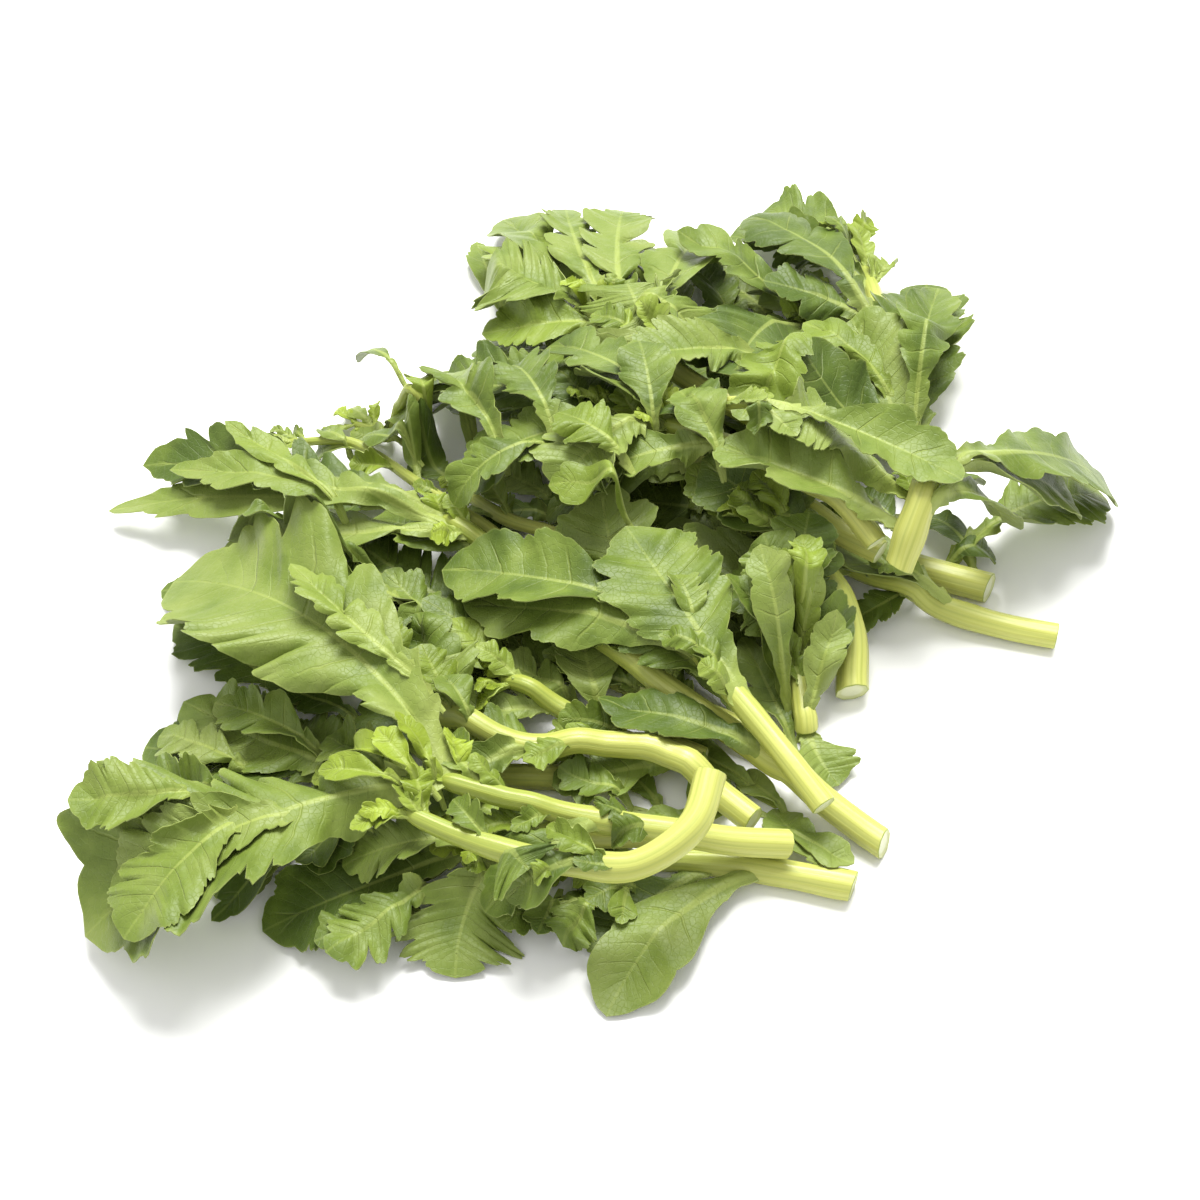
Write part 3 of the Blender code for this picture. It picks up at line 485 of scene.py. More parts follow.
def layShoot(number, one, heap):
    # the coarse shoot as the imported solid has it: its stem line and its blades in the order they grow,
    # those below the stem first
    centre, radius = layStem(one, heap)
    random = np.random.RandomState(firstSeed["laid"] + number)
    own = reliefMap(layout["coarseCell"])
    ease = number / (len(shootList) - 1)  # blades low in the heap lie flatter
    under, over = grownLeaves(one, number, ease)
    share = np.linspace(0, 1, len(centre))
    piles = []
    for leaves in (under, [*over, *one["placed"]]):
        piles.append([])
        for leaf in leaves:
            byHand = isinstance(leaf, tuple)
            at, width = (leaf[0], leaf[2]) if byHand else (leaf["at"], leaf["width"])
            root = pointsAt(at * 0.985, share, centre)
            lobes = 1 + (width > 20) + (width > 37 and byHand)
            cup = random.uniform(0.004, 0.022) * (1 if random.rand() < 0.7 else -1)
            rest = (root, np.interp(at, share, radius), heap, own, lobes, cup, ease)
            laid = layBlade(aimed(at, root, heap, *leaf[1:]), *rest) if byHand else easiestBlade(leaf, *rest)
            own.cover(coarseTop(laid))
            piles[-1].append(laid)
        if len(piles) == 1:
            own.cover(upperHalf(centre, radius))
    heap.coverWith(own)
    return dict(centre=centre, radius=radius, below=piles[0], above=piles[1])


def neighbours(field, axis):
    # the field moved by one place either way, its ends repeated
    padded = np.concatenate([np.take(field, [0], axis), field, np.take(field, [-1], axis)], axis)
    size = field.shape[axis]
    return np.take(padded, range(size), axis), np.take(padded, range(2, size + 2), axis)


def softened(field, times):
    # a 1-2-1 blur along both directions of a grid
    for axis in (0, 1) * times:
        before, after = neighbours(field, axis)
        field = 0.5 * field + 0.25 * (before + after)
    return field


def broadened(field):
    # the highest of each point and its neighbours along both directions of a grid
    for axis in (0, 1):
        field = np.maximum(field, np.maximum(*neighbours(field, axis)))
    return field


def bySide(v, left, right):
    # rows of one value where v is negative, and of the other elsewhere
    return np.where(v[None, :] < 0, left[:, None], right[:, None])


# How a fine blade is cut: how deep its bays go and how round its lobes are, the parts of each lobe
# and their depth, the teeth within a part, how far the edge ruffles, how far single lobes tip up or
# down and how far the blade folds along its midrib.
kindWords = ("deep", "round", "parts", "partDepth", "teeth", "ruffle", "tilt", "fold")
bladeKinds = {
    "lobed": (1.60, 0.40, 3, 0.13, 0.040, 0.012, 0.12, 0.12),
    "toothed": (1.15, 0.60, 2, 0.11, 0.060, 0.016, 0.07, 0.14),
    "smooth": (1.00, 0.60, 2, 0.05, 0.025, 0.010, 0.05, 0.16),
    "cut": (1.60, 0.50, 3, 0.32, 0.050, 0.030, 0.08, 0.22),
    "spoon": (1.00, 0.40, 1, 0.04, 0.012, 0.008, 0.05, 0.08),
    "young": (1.30, 0.45, 2, 0.16, 0.030, 0.030, 0.14, 0.35),
}

bladeBody = {
    "large": (84, 8),         # rows, and columns on each side of the midrib
    "middle": (54, 6),
    "small": (33, 4),
    "halfThickness": 0.24,
    "edgeThickness": 0.17,
    "ribShare": 0.50,         # midrib radius at the root, as a share of the stem's radius there
    "ribEnd": 0.18,
    "clearance": 0.35,
    "turns": 30,
    "swell": ((0.7, 0.085), (1.4, 0.055), (2.6, 0.028), (5.3, 0.012)),  # turns along the blade, height
}


def lobePhase(lobes, u):
    # counts lobes from root to tip: bays at whole numbers, lobe ends half way between
    first, last = layout["firstRow"], layout["lastRow"]
    return np.interp(u, [0.0, first, last, 0.925, 1.0], [-1.6, 0.0, lobes - 0.5, lobes, lobes + 0.5])


def edgeReach(leaf, kind, lobes, u, random):
    # reach = longer(x) - cut deeper(x) (1 - |sin(pi x)|^round) - parts (1 - |sin(pi n x)|^0.7)
    #         - teeth (1 - |sin(3 pi n x)|^0.8), x the lobe phase; longer and deeper vary by lobe
    x = lobePhase(lobes, u)
    knots = np.arange(-2, lobes + 2)
    deeper = np.interp(x, knots, random.uniform(0.75, 1.40, len(knots)))
    longer = np.interp(x, knots + 0.5, random.uniform(-0.10, 0.05, len(knots)))
    opened = np.clip((u - 0.16) / (layout["firstRow"] - 0.16), 0, 1)
    shifted = kind["parts"] * (x + random.uniform(-0.2, 0.2) + 0.08 * np.sin(9 * u + random.uniform(0, 6)))
    partly = np.interp(shifted, np.arange(-4, 9), random.uniform(0.1, 1.9, 13))
    bays = 1 - np.abs(np.sin(np.pi * x)) ** kind["round"]
    parts = 1 - np.abs(np.sin(np.pi * shifted)) ** 0.7
    teeth = 1 - np.abs(np.sin(3 * np.pi * shifted)) ** 0.8
    lost = partly * (kind["partDepth"] * parts + kind["teeth"] * teeth)
    lost = leaf["cut"] * kind["deep"] * deeper * bays + lost
    reach = 1 + opened * (longer - lost * (1 - u**8))
    fringe = np.maximum(0, np.sin(2 * np.pi * (9 * u + random.uniform(0, 1)))) ** 2
    wing = np.clip(u / 0.04, 0, 1) * np.clip((layout["firstRow"] - u) / 0.10, 0, 1)
    return reach + random.uniform(0.2, 0.9) * fringe * wing


def fineBlade(laid, seed):
    # along = middle(u) + forward(u) reach(u) |v|^1.15, out = half(u) reach(u) v, both carried on the
    # bent midrib, then raised by what the coarse blade was raised there
    leaf, lobes = laid["leaf"], laid["lobes"]
    kind = dict(zip(kindWords, bladeKinds[leaf["kind"]]))
    random = np.random.RandomState(seed)
    rows, columns = bladeBody["small" if leaf["width"] < 18 else "middle" if leaf["width"] < 33 else "large"]
    u = np.concatenate([np.linspace(0, 0.24, rows // 5), np.linspace(0.24, 1, rows - rows // 5 + 1)[1:]])
    t = np.linspace(-1, 1, 2 * columns + 1)
    v = np.sign(t) * np.abs(t) ** 1.6
    out = np.abs(v)[None, :]
    middle, forward, half = bladeWidths(leaf, u)
    half[0] = min(half[0], 0.6 * laid["rootRadius"])
    reach = bySide(v, *(edgeReach(leaf, kind, lobes, u, random) for _ in range(2)))
    reach[-1] = 1.0
    a = middle[:, None] + forward[:, None] * reach * out**1.15
    a[0] = -layout["rootDepth"]
    b = half[:, None] * reach * v[None, :]
    phase = lobePhase(lobes, u)
    x = phase[:, None] + random.uniform(-0.1, 0.1)
    calm = 0.5 + 0.5 * laid.get("ease", 1.0)
    ruffle = kind["ruffle"] * np.cos(2 * np.pi * kind["parts"] * (x - 0.25) + 1.2 * np.sign(v)) * out**2
    swell = np.zeros_like(b)
    for turns, tall in bladeBody["swell"]:
        turned = turns * u[:, None] * random.uniform(0.7, 1.3) + random.rand()
        swell += tall * np.sin(2 * np.pi * turned + random.uniform(-2.5, 2.5) * v) * out**1.3
    pucker = 0.005 * np.cos(4 * np.pi * x + 3 * out) * np.sin(np.pi * out)
    knots = np.arange(-2, lobes + 2) + 0.5
    tips = [np.interp(phase, knots, random.uniform(-1, 1, len(knots))) for _ in range(2)]
    tilt = kind["tilt"] * bySide(v, *tips) * out**1.7
    fold = kind["fold"] * random.uniform(-0.4, 1.8) * np.abs(b) * np.clip(u / 0.3, 0, 1)[:, None]
    rise = (calm * leaf["width"] * (ruffle + swell + pucker + tilt) + fold) * np.clip(u / 0.2, 0, 1)[:, None]
    rise *= (1 - u**8)[:, None]
    surface = onFrame(laid["bent"], a, b, laid["cup"], rise)
    if "rise" in laid:
        midrib, right, left = (np.interp(u, laid["shares"], row) for row in laid["rise"])
        surface[..., 2] += softened(midrib[:, None] * (1 - out) + bySide(v, left, right) * out, 3)
    narrowing = 1.2 if leaf["kind"] == "cut" else 2.0
    ribRadius = bladeBody["ribShare"] * laid["rootRadius"] * (1 - u) ** narrowing + bladeBody["ribEnd"]
    return dict(surface=surface, u=u, out=out, x=x, b=b, ribRadius=ribRadius, along=a, leaf=leaf,
                columns=columns, tone=random.uniform(-1, 1), sunk=laid.get("sunk", 0.0))


def settle(fine, heap, own):
    # raises the blade until it clears the heap: each push is the lack, or its blur where that is more;
    # the whole lift is then broadened and blurred, so that the blade drapes instead of creasing
    surface, along, columns = fine["surface"], fine["along"], fine["columns"]
    gap, half = bladeBody["clearance"], bladeBody["halfThickness"]
    start = surface[..., 2].copy()
    free = np.clip(along / 12.0, 0, 1)
    away = np.clip((along - 8.0) / 20.0, 0, 1)
    for _ in range(bladeBody["turns"]):
        under, ownUnder = heap.under(surface), own.under(surface)
        lack = under + np.where(under > 0, gap, 0.0) + half - surface[..., 2]
        ownLack = (ownUnder + gap + half - surface[..., 2]) * away
        lack = np.maximum(lack, np.where(ownUnder > 0, ownLack, 0.0))
        lack = np.maximum(lack, 0.0) * free
        if lack.max() < 0.05:
            break
        surface[..., 2] += np.maximum(0.45 * lack, softened(lack, 3))
    lift = softened(broadened(surface[..., 2] - start), 5)
    surface[..., 2] = start + lift * np.clip(along / 8.0, 0, 1)
    surface[..., 2] -= fine["sunk"] * np.clip(1 - along / (0.3 * fine["leaf"]["length"]), 0, 1) ** 1.3
    surface[-1, :columns] = surface[-1, :columns:-1]


def finerGrid(surface):
    # the grid with a point half way along each step, both ways
    for axis in (0, 1):
        ahead = np.roll(surface, -1, axis)
        pairs = np.stack([surface, (ahead + surface) / 2], axis + 1)
        shape = list(surface.shape)
        shape[axis] *= 2
        surface = np.take(pairs.reshape(shape), range(shape[axis] - 1), axis)
    return surface


def closedBlade(fine):
    # upper face: surface + normal (thickness + part of the rib); lower face: surface - normal
    # (thickness + rib), where rib = radius exp(-(out / (0.8 radius + 0.25))^2); a rim joins the edges
    surface, u, b, columns, size = (fine[key] for key in ("surface", "u", "b", "columns", "out"))
    normal = unit(np.cross(np.gradient(surface, axis=0), np.gradient(surface, axis=1)))
    mirrored = np.append(normal[-1, :columns], normal[-1, columns:columns + 1], axis=0)[::-1]
    seam = unit(normal[-1, columns:] + mirrored)
    normal[-1, columns:] = seam
    normal[-1, :columns] = seam[:0:-1]
    thick = bladeBody["halfThickness"] * (1 - size**3) + bladeBody["edgeThickness"] * size**3
    radius = fine["ribRadius"][:, None]
    rib = radius * np.exp(-(b / (0.8 * radius + 0.25)) ** 2) * (1 - np.clip((u - 0.9) / 0.1, 0, 1))[:, None]
    above = 0.45 * rib * np.clip(1 - u / 0.5, 0, 1)[:, None]
    top = surface + normal * (thick + above)[..., None]
    bottom = surface - normal * (thick + rib)[..., None]
    top[..., 2] = np.maximum(top[..., 2], 2 * bladeBody["edgeThickness"])
    bottom[..., 2] = np.maximum(bottom[..., 2], 0.0)
    rows, across = surface.shape[:2]
    n = rows * across
    index = np.arange(n).reshape(rows, across)
    index[-1, :columns] = index[-1, :columns:-1]
    upper = gridFaces(index)
    rims = ((index[1:, 0], index[:-1, 0]), (index[:-1, -1], index[1:, -1]), (index[0, :-1], index[0, 1:]))
    rims = [np.stack([p, q, q + n, p + n], axis=-1) for p, q in rims]
    ones = np.ones((rows, across))
    marks = dict(phase=fine["x"], edge=size, rib=np.abs(b) / (radius + 0.35), share=u[:, None],
                 youth=fine["leaf"]["youth"], tone=fine["tone"])
    marks = {key: np.tile((value * ones).ravel(), 2) for key, value in marks.items()}
    marks["under"] = np.repeat([0.0, 1.0], n)
    flat = np.stack([b / 100 + 0.5, fine["along"] / 200 + 0.05], axis=-1).reshape(-1, 2)
    return dict(points=np.concatenate([top, bottom]).reshape(-1, 3), marks=marks, flat=np.tile(flat, (2, 1)),
                faces=np.vstack([upper, upper[:, ::-1] + n, *rims]))


stemBody = {
    "sides": 30,
    "step": 2.2,
    "ridges": 9,
    "ridgeDepth": 0.032,       # share of the radius
    "knuckle": 0.10,           # swelling where a leaf grows, share of the radius
    "capShare": (0.0, 0.42, 0.72, 0.90, 0.95, 0.99),  # rings of the cut end, out from its middle
    "capDepth": (-0.3, -0.1, -0.25, 0.12, 0.28, 0.0),
    "tipLength": 7.0,
    "clearance": 0.2,
    "turns": 60,
}


def fineStem(coarse, heap, number):
    # the stem's smooth centre line and radius, raised where the heap under it asks for more
    random = np.random.RandomState(firstSeed["stem"] + number)
    line = smoothLine(coarse["centre"], 12)
    run = runOf(line)
    even = np.linspace(0, run[-1], int(run[-1] / stemBody["step"]))
    centre = pointsAt(even, run, line)
    coarseRun = runOf(coarse["centre"])
    radius = np.interp(even / run[-1], coarseRun / coarseRun[-1], coarse["radius"])
    floor = stemFloor(heap, centre, radius, radius * 0.98, np.linspace(-1, 1, 7), stemBody["clearance"])
    for _ in range(stemBody["turns"]):
        lack = np.maximum(floor - centre[:, 2], 0)
        if lack.max() < 0.05:
            break
        push = lack.copy()
        for _ in range(6):
            push[1:-1] = 0.5 * push[1:-1] + 0.25 * (push[2:] + push[:-2])
        centre[:, 2] += np.maximum(0.4 * lack, push)
    return dict(centre=centre, radius=radius, run=even, slant=random.uniform(-0.22, 0.22, 2),
                twist=random.uniform(-0.6, 0.6))


def stemSurface(stem, joints):
    # rings round the centre line: radius (1 + ridge cos(ridges turn)) (1 + knuckles), closed at the
    # cut end by rings that step inwards and at the tip by a round end
    centre, radius, run = stem["centre"], stem["radius"].copy(), stem["run"]
    for at in joints:
        radius *= 1 + stemBody["knuckle"] * np.exp(-((run / run[-1] - at) * run[-1] / 7.0) ** 2)
    along = unit(np.gradient(centre, axis=0))
    side = unit(np.cross(along, [0.0, 0.0, 1.0]))
    up = np.cross(side, along)
    rounded = np.sqrt(np.clip(1 - (1 - np.minimum((run[-1] - run) / stemBody["tipLength"], 1)) ** 2, 0.0, 1))
    capRings = len(stemBody["capShare"])
    share = np.concatenate([stemBody["capShare"], rounded])
    where = np.concatenate([np.zeros(capRings, int), np.arange(len(centre))])
    depth = np.concatenate([-np.array(stemBody["capDepth"]), np.zeros(len(centre))])
    turn = np.arange(stemBody["sides"]) * 2 * math.pi / stemBody["sides"]
    onward = (run / run[-1])[where, None]
    ridge = np.cos(stemBody["ridges"] * (turn + stem["twist"] * onward))
    grooved = 1 + stemBody["ridgeDepth"] * (np.abs(ridge) ** 0.8 * np.sign(ridge)) * share[:, None]
    cosine, sine = np.cos(turn), np.sin(turn)
    ring = cosine[:, None] * side[where, None] + sine[:, None] * up[where, None]
    wide = (radius[where] * share)[:, None] * grooved
    near = np.clip(1 - run[where] / 14.0, 0, 1)[:, None]
    slant = (cosine * stem["slant"][0] + sine * stem["slant"][1]) * wide * near
    points = centre[where, None] + ring * wide[..., None]
    points = points + along[where, None] * (slant + depth[:, None])[..., None]
    points[..., 2] = np.maximum(points[..., 2], 0.0)
    rows, sides = points.shape[:2]
    index = np.arange(rows * sides).reshape(rows, sides)
    index[0] = index[0, 0]
    index[-1] = index[-1, 0]
    cap = np.repeat([[1.0], [0.0]], [capRings, len(centre)], axis=0)
    ones = np.ones((rows, sides))
    marks = dict(groove=ridge, cap=cap, capShare=share[:, None], share=onward)
    marks = {key: (value * ones).ravel() for key, value in marks.items()}
    flat = np.stack([turn / 7 * ones, run[where, None] / 250 * ones], axis=-1)
    return dict(points=points.reshape(-1, 3), faces=gridFaces(np.append(index, index[:, :1], axis=1)),
                marks=marks, flat=flat.reshape(-1, 2))


def gridFaces(index):
    # the quads of a grid of corner numbers
    corners = (index[:-1, :-1], index[1:, :-1], index[1:, 1:], index[:-1, 1:])
    return np.stack(corners, axis=-1).reshape(-1, 4)


def weldedFaces(faces):
    # repeated corners of a face are dropped: a quad beside a pole becomes a triangle
    keep = faces != np.roll(faces, -1, axis=1)
    count = keep.sum(axis=1)
    keep[count < 3] = False
    return faces[keep], count[count >= 3]


def makePiece(name, parts, finish):
    # one mesh from several closed surfaces, with their marks as attributes
    starts = np.cumsum([0] + [len(part["points"]) for part in parts])
    corners, sizes = weldedFaces(np.vstack([part["faces"] + start for part, start in zip(parts, starts)]))
    used, corners = np.unique(corners, return_inverse=True)
    points = np.vstack([part["points"] for part in parts])[used]
    points = (points - [*layout["heapCentre"], 0.0]) * metresPerMm
    mesh = bpy.data.meshes.new(name)
    mesh.from_pydata(points, [], np.split(corners, np.cumsum(sizes)[:-1]))
    for key in parts[0]["marks"]:
        value = np.concatenate([part["marks"][key] for part in parts])[used]
        mesh.attributes.new(key, "FLOAT", "POINT").data.foreach_set("value", value.astype(np.float32))
    flat = np.vstack([part["flat"] for part in parts])[used]
    mesh.uv_layers.new(name="flat").data.foreach_set("uv", flat[corners].astype(np.float32).ravel())
    mesh.polygons.foreach_set("use_smooth", np.ones(len(sizes), bool))
    mesh.set_sharp_from_angle(angle=math.radians(55))
    mesh.materials.append(finish)
    mesh.validate()
    return linked(name, mesh)


def linked(name, data):
    # a new object in the scene
    thing = bpy.data.objects.new(name, data)
    bpy.context.scene.collection.objects.link(thing)
    return thing


youngGrowth = {
    "crown": 5,                 # small leaves at each tip
    "axil": 4,                  # leaflets where leaves join the stem
    "length": (10.0, 22.0),
    "axilLength": (14.0, 30.0),
    "width": (0.42, 0.62),
    "covered": (14, 21, 22),    # shoots whose tip lies under a broad leaf
}


def youngLeaves(one, stem, number):
    # leaves round the tip and at the joints; they open by the golden angle and rise from the stem
    random = np.random.RandomState(firstSeed["young"] + number)
    laid = []
    centre, radius = stem["centre"], stem["radius"]
    crowns = 0 if number in youngGrowth["covered"] else youngGrowth["crown"]
    for k in (*range(crowns), *range(youngGrowth["axil"])):
        crown = len(laid) < crowns
        at = random.uniform(0.90, 1.0) if crown else random.uniform(0.35, 0.92)
        spot, heading = headingAt(centre, at)
        turn = math.radians(layout["goldenAngle"] * k + 70 * number)
        length = random.uniform(*youngGrowth["length" if crown else "axilLength"])
        length *= min(1.0, 0.45 + one["radius"] / 8)
        leaf = dict(at=at, heading=heading + math.cos(turn) * random.uniform(15, 60), length=length,
                    width=length * random.uniform(*youngGrowth["width"]), bend=random.uniform(-40, 40),
                    roll=random.uniform(-50, 50), cut=random.uniform(0.30, 0.50),
                    pitch=random.uniform(0, 45) * (0.4 + 0.6 * abs(math.sin(turn))), kind="young",
                    youth=random.uniform(0.2, 0.7) if crown else random.uniform(0.0, 0.3))
        bent = bladeFrame(leaf, centre[spot], leaf["pitch"] - random.uniform(10, 70))
        laid.append(dict(leaf=leaf, bent=bent, lobes=2, rootRadius=0.5 * radius[spot],
                         cup=random.uniform(0.02, 0.06) * (1 if random.rand() < 0.7 else -1)))
    return laid


# Leaves that only the finish has, as (root in plan, tip in plan, width, bend, cut, pitch, roll if any,
# kind if not lobed, youth). Beneath are those laid before their shoot, tucked those laid after it.
beneathLeaves = {
    15: [((-15, 103), (-40, 180), 26, -14, 0.4, 24, 0, "lobed", 0.15),
        ((17, 103), (-13, 178), 24, 16, 0.36, 22, 0, "cut"),
        ((39, 105), (17, 181), 24, -10, 0.34, 22, 0, "cut"), ((57, 116), (35, 169), 26, 20, 0.4, 18)],
}
tuckedLeaves = {
    0: [((55, -97), (80, -116), 14, 10, 0.36, 0, 0, "toothed"),
        ((63, -95), (45, -76), 11, 10, 0.4, 6, 0, "toothed"), ((22, -92), (7, -73), 12, 10, 0.4, 6)],
    1: [((56, 10), (31, 3), 28, 10, 0.36, 16), ((66, -8), (34, -24), 26, -10, 0.36, 16),
        ((80, -7), (64, -35), 18, 20, 0.3, 10, 0, "toothed"), ((50, 46), (22, 71), 28, 10, 0.4, 16),
        ((7, 37), (-21, 46), 26, 10, 0.4, 16), ((-14, 37), (-46, 35), 24, 10, 0.44, 12),
        ((114, 4), (85, -13), 18, -20, 0.3, 6, 0, "toothed"), ((-14, 43), (-39, 60), 20, 10, 0.4, 10)],
    2: [((-43, -34), (-74, 1), 22, -10, 0.5, 24), ((-23, -42), (-60, -15), 22, 10, 0.5, 20),
        ((-3, -53), (-34, -36), 20, 10, 0.5, 20), ((17, -48), (-13, -33), 22, -10, 0.4, 20),
        ((33, -51), (13, -33), 22, 10, 0.4, 20), ((-62, -15), (-107, -4), 22, 0, 0.44, 10, 0, "cut"),
        ((66, -70), (49, -25), 17, 10, 0.36, 8, 0, "toothed"),
        ((56, -87), (16, -59), 16, 6, 0.4, 6, 0, "toothed"),
        ((48, -54), (26, -31), 12, 10, 0.4, 8, 0, "toothed"), ((-63, 41), (-99, 44), 12, 6, 0.46, 6)],
    3: [((16, -120), (-4, -131), 14, 20, 0.5, 4, 0, "toothed", 0.1),
        ((10, -120), (7, -138), 10, 20, 0.5, 4, 0, "toothed", 0.1),
        ((-12, -124), (-30, -136), 16, 20, 0.4, 4, 20), ((-38, -114), (-80, -119), 26, 10, 0.46, 8),
        ((-1, -128), (-30, -139), 18, 20, 0.4, 4), ((-13, -123), (-19, -143), 14, -10, 0.4, 4),
        ((-59, -131), (-87, -145), 20, -14, 0.36, 4), ((-51, -123), (-83, -151), 26, -16, 0.4, 4),
        ((0, -127), (-11, -145), 18, 16, 0.4, 4)],
    4: [((-86, -97), (-115, -121), 14, 20, 0.55, 4), ((-96, -97), (-121, -132), 13, -20, 0.55, 4),
        ((-73, -97), (-95, -118), 15, 10, 0.55, 4), ((-109, -82), (-145, -65), 22, -10, 0.5, 10),
        ((-115, -94), (-149, -83), 20, 10, 0.5, 14), ((-87, -77), (-127, -56), 22, 10, 0.5, 18),
        ((-64, -88), (-90, -69), 24, 10, 0.4, 20), ((-32, -74), (-59, -65), 18, 10, 0.4, 14),
        ((-99, -48), (-146, -15), 30, 10, 0.36, 8), ((-76, -57), (-112, -41), 17, 10, 0.4, 8)],
    5: [((-13, -76), (-42, -66), 20, 10, 0.44, 14), ((13, -90), (-13, -81), 18, -20, 0.44, 14),
        ((52, -91), (29, -84), 18, 10, 0.36, 12, 0, "toothed", 0.1),
        ((39, -91), (13, -99), 16, -20, 0.36, 6, 0, "toothed")],
    6: [((72, 44), (50, 85), 30, 10, 0.36, 16), ((93, 37), (73, 74), 28, 10, 0.3, 14, 0, "smooth"),
        ((72, 138), (37, 171), 24, 10, 0.36, 10), ((133, 8), (118, 37), 14, 20, 0.36, 20, 0, "toothed"),
        ((121, 12), (141, 19), 14, -20, 0.36, 20, 0, "toothed"),
        ((109, 31), (95, 50), 20, 10, 0.36, 12, 0, "toothed")],
    7: [((14, 42), (-14, 26), 22, 20, 0.36, 16, 0, "lobed", 0.1), ((-43, 62), (-66, 83), 18, 10, 0.4, 10),
        ((-44, 61), (-63, 76), 22, 10, 0.4, 12)],
    9: [((-66, 53), (-86, 65), 10, 10, 0.46, 8), ((-70, 74), (-84, 91), 10, 10, 0.46, 8),
        ((-88, 60), (-104, 74), 8, 10, 0.46, 8)],
    14: [((-34, 138), (-49, 184), 16, -10, 0.36, 10)],
    20: [((124, 15), (185, 45), 34, -16, 0.3, 26, 0, "toothed")],
}
lastLeaves = [  # these lie on top of all, and name their shoot first
    (11, (-52, -72), (-101, -23), 19, -16, 0.4, 14, 10, "cut", 0.1),
    (19, (-81, -111), (-149, -137), 34, 16, 0.22, 6, 0, "toothed"),
    (19, (-105, -110), (-142, -153), 36, 14, 0.2, 8, 0, "toothed"),
    (19, (-120, -107), (-163, -111), 26, -10, 0.24, 8, 0, "toothed", 0.05),
    (16, (64, 90), (11, 71), 32, 10, 0.34, 22), (13, (-47, 11), (-150, 42), 21, 8, 0.34, 10, 0, "cut"),
    (7, (-14, 34), (-36, 84), 28, 10, 0.36, 26), (7, (-33, 35), (-61, 82), 22, 20, 0.4, 16),
    (21, (114, 60), (130, 140), 26, -14, 0.36, 18, 0, "toothed"),
    (21, (111, 74), (77, 116), 20, 24, 0.3, 24, 0, "toothed", 0.15),
    (16, (74, 113), (50, 52), 28, -26, 0.36, 24, 0, "lobed", 0.15),
    (18, (42, 20), (28, 52), 20, 20, 0.2, 14, 20, "smooth"),
    (18, (19, 40), (14, 77), 22, 6, 0.16, 34, -10, "smooth"),
    (18, (-13, 37), (-53, 17), 21, 20, 0.3, 20, 0, "lobed", 0.05),
    (18, (10, 22), (-14, 43), 24, 10, 0.4, 14, 20, "lobed", 0.2),
    (13, (14, 5), (-16, 17), 15, 50, 0.4, 14, 0, "lobed", 0.15),
    (13, (-68, -4), (-128, 12), 18, 10, 0.4, 8, 0, "cut"),
    (13, (-86, 15), (-133, 58), 15, 10, 0.44, 10, 0, "cut", 0.1),
    (5, (-41, -73), (-52, -55), 15, 10, 0.3, 50, 40, "toothed"),
    (12, (63, -53), (48, -33), 15, 60, 0.3, 30, 50, "toothed"),
    (12, (67, -60), (79, -29), 17, 14, 0.26, 34, 30, "toothed"),
    (12, (64, -53), (56, -25), 17, -10, 0.26, 36, -20, "toothed"),
    (19, (-52, -104), (-80, -90), 12, 20, 0.5, 26, 10, "young", 0.55),
    (19, (-55, -106), (-70, -88), 11, -10, 0.5, 34, -10, "young", 0.6),
    (19, (-58, -106), (-88, -99), 11, -10, 0.5, 20, 0, "young", 0.4),
    (19, (-50, -102), (-64, -84), 10, 20, 0.5, 30, 30, "young", 0.5),
]


def extraLeaf(heap, root, *row):
    # a leaf whose root is tucked into the heap and whose tip comes down at its own place
    root = [*root, max(1.0, float(heap.under(root)) - 2.0)]
    leaf = aimed(0.5, root, heap, *row)
    bent = bladeFrame(leaf, root, settledPitch(leaf, root, heap, 4.0))
    lobes = 1 + (leaf["width"] > 16) + (leaf["width"] > 25)
    return dict(leaf=leaf, bent=bent, lobes=lobes, rootRadius=1.5, cup=0.008, sunk=7.0)


def dressBlade(laid, seed, heap, own, leaves):
    # the fine blade, settled on what lies below, joins its shoot's leaves
    fine = fineBlade(laid, seed)
    settle(fine, heap, own)
    leaves.append(closedBlade(fine))
    own.cover(finerGrid(fine["surface"]) + [0.0, 0.0, bladeBody["halfThickness"]])


def layExtra(row, seed, heap, leaves):
    # one extra leaf, laid on the heap and then part of it
    own = reliefMap(layout["fineCell"])
    dressBlade(extraLeaf(heap, *row), seed, heap, own, leaves)
    heap.coverWith(own)


def dressShoot(number, one, coarse, heap):
    # the fine stem and blades of one shoot, laid in the order in which they lie on each other
    leaves = []
    seed = {pile: seedsPerShoot * (number + 1) + first for pile, first in bladeSeed.items()}
    for k, row in enumerate(beneathLeaves.get(number, [])):
        layExtra(row, seed["beneath"] + k, heap, leaves)
    own = reliefMap(layout["fineCell"])
    stem = fineStem(coarse, heap, number)
    piles = dict(coarse, young=youngLeaves(one, stem, number))
    for pile in ("below", "above", "young"):
        for k, laid in enumerate(piles[pile]):
            dressBlade(laid, seed[pile] + k, heap, own, leaves)
        if pile == "below":
            own.cover(upperHalf(stem["centre"], stem["radius"]))
    heap.coverWith(own)
    for k, row in enumerate(tuckedLeaves.get(number, [])):
        layExtra(row, seed["tucked"] + k, heap, leaves)
    joints = [laid["leaf"]["at"] for laid in coarse["below"] + coarse["above"]]
    return leaves, stemSurface(stem, joints)


def makeShoot(one, leaves, stem, finishes):
    # two pieces that stand for the shoot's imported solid
    for ending, slot, parts in (("_stem", "stem", [stem]), ("_leaves", "leaf", leaves)):
        piece = makePiece(one["name"] + ending, parts, finishes[slot])
        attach(piece, "root")
        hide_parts(one["name"])


